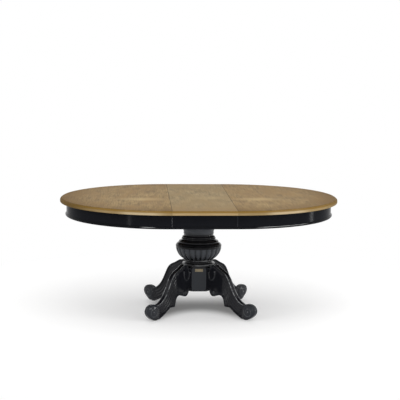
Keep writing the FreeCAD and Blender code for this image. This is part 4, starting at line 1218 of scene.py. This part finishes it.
# Legs
@dataclass
class ScrollLegs:
    """The four carved legs: sawn outline, rolls along arrises, sunk and fluted sides, scrolls, round toes.

    Where a form begins and ends along the leg is given by radii from the pedestal axis, and how far in from
    the outline by the two distances between which it rises.
    """

    half_thick: float = 20.0
    roll: float = 5.5
    toe_wide: float = 25.0
    toe_drop: float = 12.5
    toe_swell: float = 2.0
    panel_sink: float = 4.0
    hollow_sink: float = 3.0
    quirk: float = 2.2
    channel: float = 3.6
    channel_wide: float = 40.0
    channel_lost: float = 0.75
    flute_pitch: float = 19.0
    flute_depth: float = 3.4
    leaf_rise: float = 3.2
    row_step: float = 2.4
    edge_points: int = 14
    middle_points: int = 30
    under_points: int = 7
    quirk_at: float = 10.45
    quirk_reach: float = 1.7
    flute_first: float = 11.0
    leaf_at: float = 25.0
    leaf_reach: float = 3.4
    hollow_in: tuple[float, float] = (12.0, 30.0)
    swell_in: tuple[float, float] = (10.0, 34.0)
    flute_in: tuple[float, float] = (9.0, 13.0)
    scroll_in: tuple[float, float] = (2.0, 8.0)
    # Where the pale crests fade, from rubbing and as painted highlight.
    face_highlight_fade: tuple[float, float] = (0.3, 2.0)
    side_highlight_fade: tuple[float, float] = (0.3, 2.2)
    rubbed_half: tuple[float, float] = (0.4, 0.5)
    # Painted sheen on plain crests and on the toe.
    plain_sheen: float = 0.45
    toe_sheen: float = 0.85
    toe_from: tuple[float, float] = (380.0, 425.0)
    toe_floor: tuple[float, float] = (-10.0, 26.0)
    shoulder_to: tuple[float, float] = (190.0, 235.0)
    bracket_to: tuple[float, float] = (205.0, 250.0)
    bracket_top: tuple[float, float] = (125.0, 175.0)
    ear: tuple[float, float] = (138.0, 168.0)
    knee: tuple[float, ...] = (118.0, 140.0, 225.0, 262.0)
    shin: tuple[float, ...] = (205.0, 240.0, 375.0, 410.0)
    toe_eye: tuple[float, float] = (440.0, 58.0)
    bracket_eye: tuple[float, float] = (147.0, 134.0)
    across: tuple[float, ...] = (1.0, 0.9, 0.79, 0.68, 0.6, 0.5, 0.3, 0.0)

    def outer_runs(self) -> list[np.ndarray]:
        """Outer outline from the column joint over the ear, knee and toe to the floor.

        Returns:
            The runs between its stations.
        """
        knee = [(110, 295), (145, 322), (189, 302), (243, 274), (286, 211), (337, 131), (402, 93)]
        back = spline_through(knee)
        toe = spline_through([(402, 93), (446, 106), (484, 88), (493, 66), (475, 32), (430, 4)])
        runs = [np.array([(82.02, 295.0), (110.0, 295.0)])]
        runs += self.cut_at(back, [(145, 322), (222, 289), (286, 211), (311, 171), (337, 131)])
        return runs + self.cut_at(toe, [(446, 106), (493, 66)])

    def inner_runs(self) -> list[np.ndarray]:
        """Inner outline from the joint over the bracket, arch and step to the floor.

        Returns:
            The runs between its stations.
        """
        bracket = spline_through([(233, 102), (196, 128), (146, 114), (112, 146)])[::-1]
        heel = spline_through([(388, 4), (331, 31), (288, 61)])[::-1]
        runs = [np.array([(82.02, 146.0), (112.0, 146.0)])]
        runs += self.cut_at(bracket, [(146, 114), (196, 128)])
        runs += [np.array([(233.0, 102.0), (243.0, 61.0)]), np.array([(243.0, 61.0), (288.0, 61.0)])]
        runs += self.cut_at(heel, [(345, 25)])
        return runs + [np.array([(388.0, 4.0), (412.0, 4.0)]), np.array([(412.0, 4.0), (430.0, 4.0)])]

    def cut_at(self, curve: np.ndarray, places: list[tuple[float, float]]) -> list[np.ndarray]:
        """Cuts a sampled curve at its points nearest to given places.

        Args:
            curve: points of the curve, one a row.
            places: where to cut it, in order.

        Returns:
            The runs between the cuts, each with both of its ends.
        """
        gaps = np.linalg.norm(curve[None] - np.array(places, float)[:, None], axis=-1)
        ends = [0, *np.argmin(gaps, axis=1).tolist(), len(curve) - 1]
        return [curve[a : b + 1] for a, b in zip(ends[:-1], ends[1:])]

    def rows(self) -> tuple[np.ndarray, np.ndarray]:
        """Pairs the outlines run by run.

        Returns:
            Outer and inner points, one a row, with equal counts.
        """
        outer, inner = [], []
        for out, back in zip(self.outer_runs(), self.inner_runs()):
            length = max(running(run)[-1] for run in (out, back))
            share = np.linspace(0.0, 1.0, max(3, int(length / self.row_step) + 1))
            start = 1 if outer else 0
            outer.append(along(out, share)[start:])
            inner.append(along(back, share)[start:])
        return np.concatenate(outer), np.concatenate(inner)

    def depth_points(self, width: np.ndarray) -> np.ndarray:
        """Distances from the outer edge at which rows are sampled: 1 mm apart near both edges, even between.

        Args:
            width: distance between the outlines in each row.

        Returns:
            The distances, rows by columns.
        """
        tight = np.minimum(1.0, width / (3.0 * self.edge_points))[:, None]
        head = np.arange(self.edge_points) * tight
        tail = width[:, None] - head[:, ::-1]
        middle = np.linspace(0.0, 1.0, self.middle_points + 2)[1:-1]
        body = head[:, -1:] + (tail[:, :1] - head[:, -1:]) * middle
        return np.concatenate([head, body, tail], axis=1)

    def spiral(self, eye: tuple, radii: tuple, turns: float, first: float) -> np.ndarray:
        """A spiral round an eye, whose radius changes evenly from one value to another over some turns.

        Args:
            eye: its centre.
            radii: its first and last radius.
            turns: how many turns it makes.
            first: the angle in degrees at which it starts.

        Returns:
            Points on it, one a row.
        """
        share = np.linspace(0.0, 1.0, 160)
        radius = radii[0] + (radii[1] - radii[0]) * share
        angle = math.radians(first) + 2.0 * math.pi * turns * share
        return np.array(eye) + radius[:, None] * np.stack([np.cos(angle), np.sin(angle)], axis=-1)

    def toe_share(self, flat: np.ndarray) -> np.ndarray:
        """Share of the toe's large round: none on the shin, all past the ankle, less at the floor."""
        return step_between(flat[..., 0], *self.toe_from) * step_between(flat[..., 1], *self.toe_floor)

    def relief(self, flat: np.ndarray, depth: np.ndarray, near: np.ndarray) -> tuple[np.ndarray, ...]:
        """Half thickness of the leg over its outline.

        A roll stands at each arris: a quarter round up from the outline, and a quarter round down to a quirk
        and a sunk panel. On the toe the quarter round is wide and runs on into a swollen side. The panel has
        flutes along the shin, a leaf edge along the knee, a looped scroll on the shoulder, and spirals with
        round eyes at the toe and the bracket. Flutes are cosines of the depth, leaf and scrolls are hills.

        Args:
            flat: points of the outline plane, rows by columns by two.
            depth: distance of each point from the outer edge along its row.
            near: distance of each point from the outline.

        Returns:
            Half thickness in millimetres, then shares from 0 to 1: grey painted sheen, least in the flutes
            and most on the toe and bracket, and painted highlight on the crests of the scrolls.
        """
        radius, tall = flat[..., 0], flat[..., 1]
        toe = self.toe_share(flat)
        wide = self.roll + (self.toe_wide - self.roll) * toe
        drop = self.roll + (self.toe_drop - self.roll) * toe
        rise = self.half_thick - drop * quarter(np.clip(1.0 - near / wide, 0.0, 1.0))
        fall = self.half_thick - wide * quarter(np.clip(near / wide - 1.0, 0.0, 1.0))
        shoulder = (1.0 - step_between(radius, *self.shoulder_to)) * step_between(near, *self.hollow_in)
        panel = self.half_thick - (1.0 - toe) * (self.panel_sink + self.hollow_sink * shoulder)
        height = np.where(near < wide, rise, np.maximum(panel, fall))
        height -= self.quirk * (1.0 - toe) * hill(near - self.quirk_at, self.quirk_reach)
        height += self.toe_swell * toe * step_between(near, *self.swell_in)
        wave = 0.5 - 0.5 * np.cos(2.0 * math.pi * (depth - self.flute_first) / self.flute_pitch)
        wave *= window(radius, *self.shin) * step_between(near, *self.flute_in)
        height -= self.flute_depth * wave
        height += self.leaf_rise * window(radius, *self.knee) * hill(depth - self.leaf_at, self.leaf_reach)
        # Scrolls: the loop runs down from one eye, round its foot and up to the other.
        loop = spline_through([(103, 266), (104, 242), (116, 221), (136, 222), (150, 244), (156, 276)])
        toe_roll = self.spiral(self.toe_eye, (37.0, 10.0), 1.35, 140.0)
        bracket = self.spiral(self.bracket_eye, (15.0, 4.0), 1.4, -90.0)
        inside = step_between(near, *self.scroll_in)
        # Crests and eyes of the scrolls get a share of painted highlight.
        crest = np.zeros(height.shape)
        scrolls = ((loop, 4.2, 4.0, 0.1), (toe_roll, 3.4, 1.7, 0.12), (bracket, 2.8, 2.8, 0.25))
        for curve, spread, ridge, wear_and_highlight in scrolls:
            gap = nearest(flat, curve)
            height += ridge * inside * hill(gap, spread)
            crest = np.maximum(crest, wear_and_highlight * inside * hill(1.3 * gap, spread))
        eyes = [(end, 6.5, 6.0) for end in (loop[0], loop[-1])]
        eyes += [(self.toe_eye, 8.0, 2.2), (self.bracket_eye, 4.5, 3.5)]
        for eye, spread, ridge in eyes:
            gap = np.hypot(radius - eye[0], tall - eye[1])
            height += ridge * np.sqrt(np.clip(1.0 - (gap / spread) ** 2, 0.0, 1.0))
            crest = np.maximum(crest, 0.6 * hill(2.0 * gap, spread))
        # Grey painted sheen: on raised parts, the toe's turns and low by the bracket, less where sunk.
        sunk = np.clip((self.half_thick - height) / (self.panel_sink + self.flute_depth), 0.0, 1.0)
        turns = hill(nearest(flat, toe_roll), 3.6)
        low = (1.0 - step_between(tall, *self.bracket_top)) * (1.0 - step_between(radius, *self.bracket_to))
        bloom = np.maximum(self.plain_sheen * (1.0 - sunk), toe * (0.72 + 0.5 * turns))
        return height, np.maximum(bloom, low * (0.95 - 0.5 * sunk)), crest

    def ringed(self, face: np.ndarray, side: np.ndarray, under: np.ndarray, turn: float = 1.0) -> np.ndarray:
        """Strings values round the leg: outer face, one side, inner face, other side, and the first again.

        Args:
            face: values over the outer face, by row.
            side: values over a side, by row, from the outer edge to the inner one.
            under: values over the inner face, by row.
            turn: what the values of the other side are multiplied by.

        Returns:
            The values of each closed ring, by row.
        """
        return np.concatenate([face, side[:, 1:-1], under, turn * side[:, -2:0:-1], face[:, :1]], axis=1)

    def rings(self) -> tuple[np.ndarray, np.ndarray, np.ndarray]:
        """Wraps each row in a ring: outer face, one side, inner face, other side.

        The outer face lies between the rolls, each a quarter round down into a channel.

        Returns:
            Points in the outline plane, distances to either side of it, and marks for the finish, by row.
        """
        outer, inner = self.rows()
        span = inner - outer
        width = np.linalg.norm(span, axis=1)
        depth = self.depth_points(np.maximum(width, 1e-3))
        way = span / np.maximum(width, 1e-6)[:, None]
        flat = outer[:, None, :] + depth[..., None] * way[:, None, :]
        near = nearest(flat, np.concatenate([outer, inner])[::2])
        near[:, [0, -1]] = 0.0
        height, bloom, crest = self.relief(flat, depth, near)
        toe = self.toe_share(outer)[:, None]
        half = np.array(self.across)
        face_side = height[:, :1] * np.concatenate([half, -half[-2::-1]])
        off = np.clip(height[:, :1] - np.abs(face_side), 0.0, self.roll)
        dip = np.minimum(self.roll * quarter(off / self.roll), self.channel)
        dip *= (1.0 - self.channel_lost * toe) * np.minimum(1.0, width / self.channel_wide)[:, None]
        face = outer[:, None, :] + dip[..., None] * way[:, None, :]
        under_side = height[:, -1:] * np.linspace(-1.0, 1.0, self.under_points)
        under = np.broadcast_to(inner[:, None, :], (*under_side.shape, 2))
        # Painted sheen on the face's crests and the toe; pale rolls and edges, from rubbing and as painted
        # highlight.
        past_ear = step_between(outer[:, 0], *self.ear)[:, None]
        crests = past_ear * (1.0 - dip / self.channel)
        face_sheen = np.maximum(self.plain_sheen * crests, self.toe_sheen * toe)
        face_highlight = past_ear * (1.0 - toe) * (1.0 - step_between(off, *self.face_highlight_fade))
        worn = (1.0 - self.toe_share(flat)) * (1.0 - step_between(near, *self.side_highlight_fade))
        worn *= 1.0 - step_between(depth / np.maximum(width, 1.0)[:, None], *self.rubbed_half)
        bare = np.zeros(under_side.shape)
        wear_and_highlight = self.ringed(face_highlight, np.maximum(worn, crest), bare)
        marks = np.stack([wear_and_highlight, np.zeros_like(wear_and_highlight), self.ringed(face_sheen, bloom, bare)], axis=-1)
        return self.ringed(face, flat, under), self.ringed(face_side, -height, under_side, -1.0), marks

    def turned_to(self, corner: Corner, plane: np.ndarray, side: np.ndarray, marks: np.ndarray) -> Shell:
        """Turns the rings about the pedestal axis: x = r cos a - s sin a, y = r sin a + s cos a.

        Args:
            corner: which leg.
            plane: radius and height of each point.
            side: distance of each point from the leg's middle plane.
            marks: painted highlight with rubbing first and painted sheen last, at each point.

        Returns:
            The closed shell of that leg.
        """
        turn = math.radians(corner.value)
        x = plane[..., 0] * math.cos(turn) - side * math.sin(turn)
        y = plane[..., 0] * math.sin(turn) + side * math.cos(turn)
        return Shell(np.stack([x, y, plane[..., 1]], axis=-1), marks, (0,))

    def build(self) -> None:
        """Builds and dresses the legs."""
        tones = ("#19191e", "#2f3237", (0.09, 0.15), 0.2)
        carved = BlackLacquer("leg_carved_black_lacquer", *tones, True, cloud_share=0.1, ripple_depth=0.6)
        lacquer = carved.material()
        plane, side, marks = self.rings()
        for corner in Corner:
            name = corner.name.lower()
            piece = self.turned_to(corner, plane, side, marks).build(name + "_scroll_leg", 50.0)
            place_piece(piece, "pedestal", name + "_leg", lacquer)


# Works under the top
@dataclass
class SlideWorks:
    """The board, rails, racks, pinions, blocks and fasteners that stay as they are, with their finishes."""

    ends: tuple[str, ...] = ("left", "right")
    rims: tuple[str, ...] = ("front", "rear")

    def build(self) -> None:
        """Dresses every node under the top and the small parts of the pedestal."""
        pairs = [f"{end}_{rim}" for end in self.ends for rim in self.rims]
        rails = [place + "_rail" for place in ("front_centre", "rear_centre", *pairs)]
        blocks = [end + kind for end in self.ends for kind in ("_glue_blocks", "_cleats")]
        racks = [pair + "_rack" for pair in pairs]
        pinions = [rim + "_pinion" for rim in self.rims]
        fasteners = ["tie_rod", "tie_rod_washers", "tie_rod_nuts", "leg_studs", "leg_washers", "leg_nuts"]
        fasteners += ["neck_screws", "centre_rail_bolts", "pinion_axles", "column_base_plate"]
        fasteners += [end + "_underside_screws" for end in self.ends]
        # The beech and softwood are coloured dark as painted shade under the top.
        beech = PlanedWood("beech_planed_painted_shade", "#6f5537", "#523c25")
        pine = PlanedWood("softwood_planed_painted_shade", "#5d4830", "#443320", (140.0, 9.0), 0.7)
        nylon = WorkedPart("nylon_moulded_natural", "#e0dccd", "#cdc7b4", 0.0, (0.4, 0.55))
        glide = WorkedPart("nylon_glide_moulded_black", "#18181a", "#2a2a2c", 0.0, (0.45, 0.6))
        zinc = WorkedPart("steel_zinc_plated", "#b7b9bd", "#94969a", 1.0, (0.28, 0.42))
        brass = WorkedPart("brass_rolled_dulled", "#877d69", "#70654e", 1.0, (0.38, 0.52))
        for finish, nodes in (
            (beech, rails),
            (pine, ["top_board", "leaf_battens", "leaf_glue_blocks", *blocks]),
            (nylon, [*racks, *pinions, "pinion_washers"]),
            (glide, ["foot_glides"]),
            (zinc, fasteners),
            (brass, ["name_plate", "name_plate_pins"]),
        ):
            dress_nodes(nodes, finish.material())


# Studio
@dataclass(frozen=True)
class Softbox:
    """A rectangular soft light: its place, the height on the table's axis it faces, its sides and watts."""

    name: str
    place: tuple[float, float, float]
    faces: float
    sides: tuple[float, float]
    power: float

    def build(self) -> None:
        """Adds the light."""
        data = bpy.data.lights.new(self.name, "AREA")
        data.shape = "RECTANGLE"
        data.size, data.size_y = self.sides
        data.energy = self.power
        lamp = add_object(self.name, data)
        lamp.location = self.place
        way = Vector((0.0, 0.0, self.faces)) - lamp.location
        lamp.rotation_euler = way.to_track_quat("-Z", "Y").to_euler()


@dataclass
class Studio:
    """White paper floor, a bright even sky, one soft light high in front and small ones at the sides."""

    floor_radius: float = 14.0
    floor_rings: int = 24
    floor_steps: int = 96
    sky: float = 0.85
    camera_place: tuple[float, float, float] = (-0.40093, -7.23221, 1.67279)
    pitch: float = 0.12935
    yaw: float = -0.05634
    roll: float = 0.00765
    lens: float = 100.73
    lights: tuple[Softbox, ...] = (
        Softbox("front_top_light", (0.0, -2.2, 3.3), 0.5, (2.4, 0.8), 20.0),
        Softbox("left_strip_light", (-2.86, -3.0, 0.2), 0.7, (0.2, 0.4), 8.0),
        Softbox("right_strip_light", (3.04, -0.04, 0.35), 0.7, (0.2, 0.4), 7.5),
        Softbox("right_panel_light", (2.8, -1.75, 0.85), 0.4, (1.2, 0.25), 11.0),
        Softbox("left_lamp", (-2.3, -2.6, 2.5), 0.3, (0.5, 0.3), 6.0),
        Softbox("right_lamp", (2.5, -2.0, 2.3), 0.3, (0.5, 0.3), 6.0),
    )

    def floor(self) -> None:
        """A disc of paper from the formula x = r cos a, y = r sin a."""
        radius = np.linspace(0.0, self.floor_radius, self.floor_rings) / MM
        plane = Shell(round_of(radius, np.zeros_like(radius), self.floor_steps)).build("studio_floor")
        if plane.data.polygons[0].normal.z < 0.0:
            plane.data.flip_normals()
        plane.data.materials.append(StudioPaper("paper_matt_white").material())

    def world(self) -> None:
        """A plain grey sky that lights softly and shows white to the camera, gloss and glass."""
        world = bpy.data.worlds.new("studio_white")
        bpy.context.scene.world = world
        world.use_nodes = True
        tree = world.node_tree
        tree.nodes.clear()
        colour = {"Color": linear("#ffffff")}
        soft = add_node(tree, "Background", colour | {"Strength": self.sky})
        white = add_node(tree, "Background", colour | {"Strength": 1.0})
        mixed = add_node(tree, "MixShader", {}, {0: shown_rays(tree), 1: soft, 2: white})
        add_node(tree, "OutputWorld", {}, {"Surface": mixed})

    def camera(self) -> None:
        """The photograph's camera: rolled, tipped down by its pitch, turned by its yaw, and placed."""
        data = bpy.data.cameras.new("photo_camera")
        data.lens = self.lens
        data.clip_end = 100.0
        camera = add_object("photo_camera", data)
        matrix = Matrix.Translation(self.camera_place)
        for angle, axis in ((self.yaw, "Z"), (0.5 * math.pi - self.pitch, "X"), (self.roll, "Z")):
            matrix @= Matrix.Rotation(angle, 4, axis)
        camera.matrix_world = matrix
        bpy.context.scene.camera = camera

    def build(self) -> None:
        """Builds the floor, world, camera and lights."""
        bpy.context.scene.view_settings.view_transform = "Standard"
        self.floor()
        self.world()
        self.camera()
        for light in self.lights:
            light.build()


def main() -> None:
    """Builds the table's looks piece by piece, then the studio."""
    logging.basicConfig(level=logging.INFO, format="%(message)s")
    TableTop().build()
    Pedestal().build()
    ScrollLegs().build()
    SlideWorks().build()
    Studio().build()


if __name__ == "__main__":
    main()
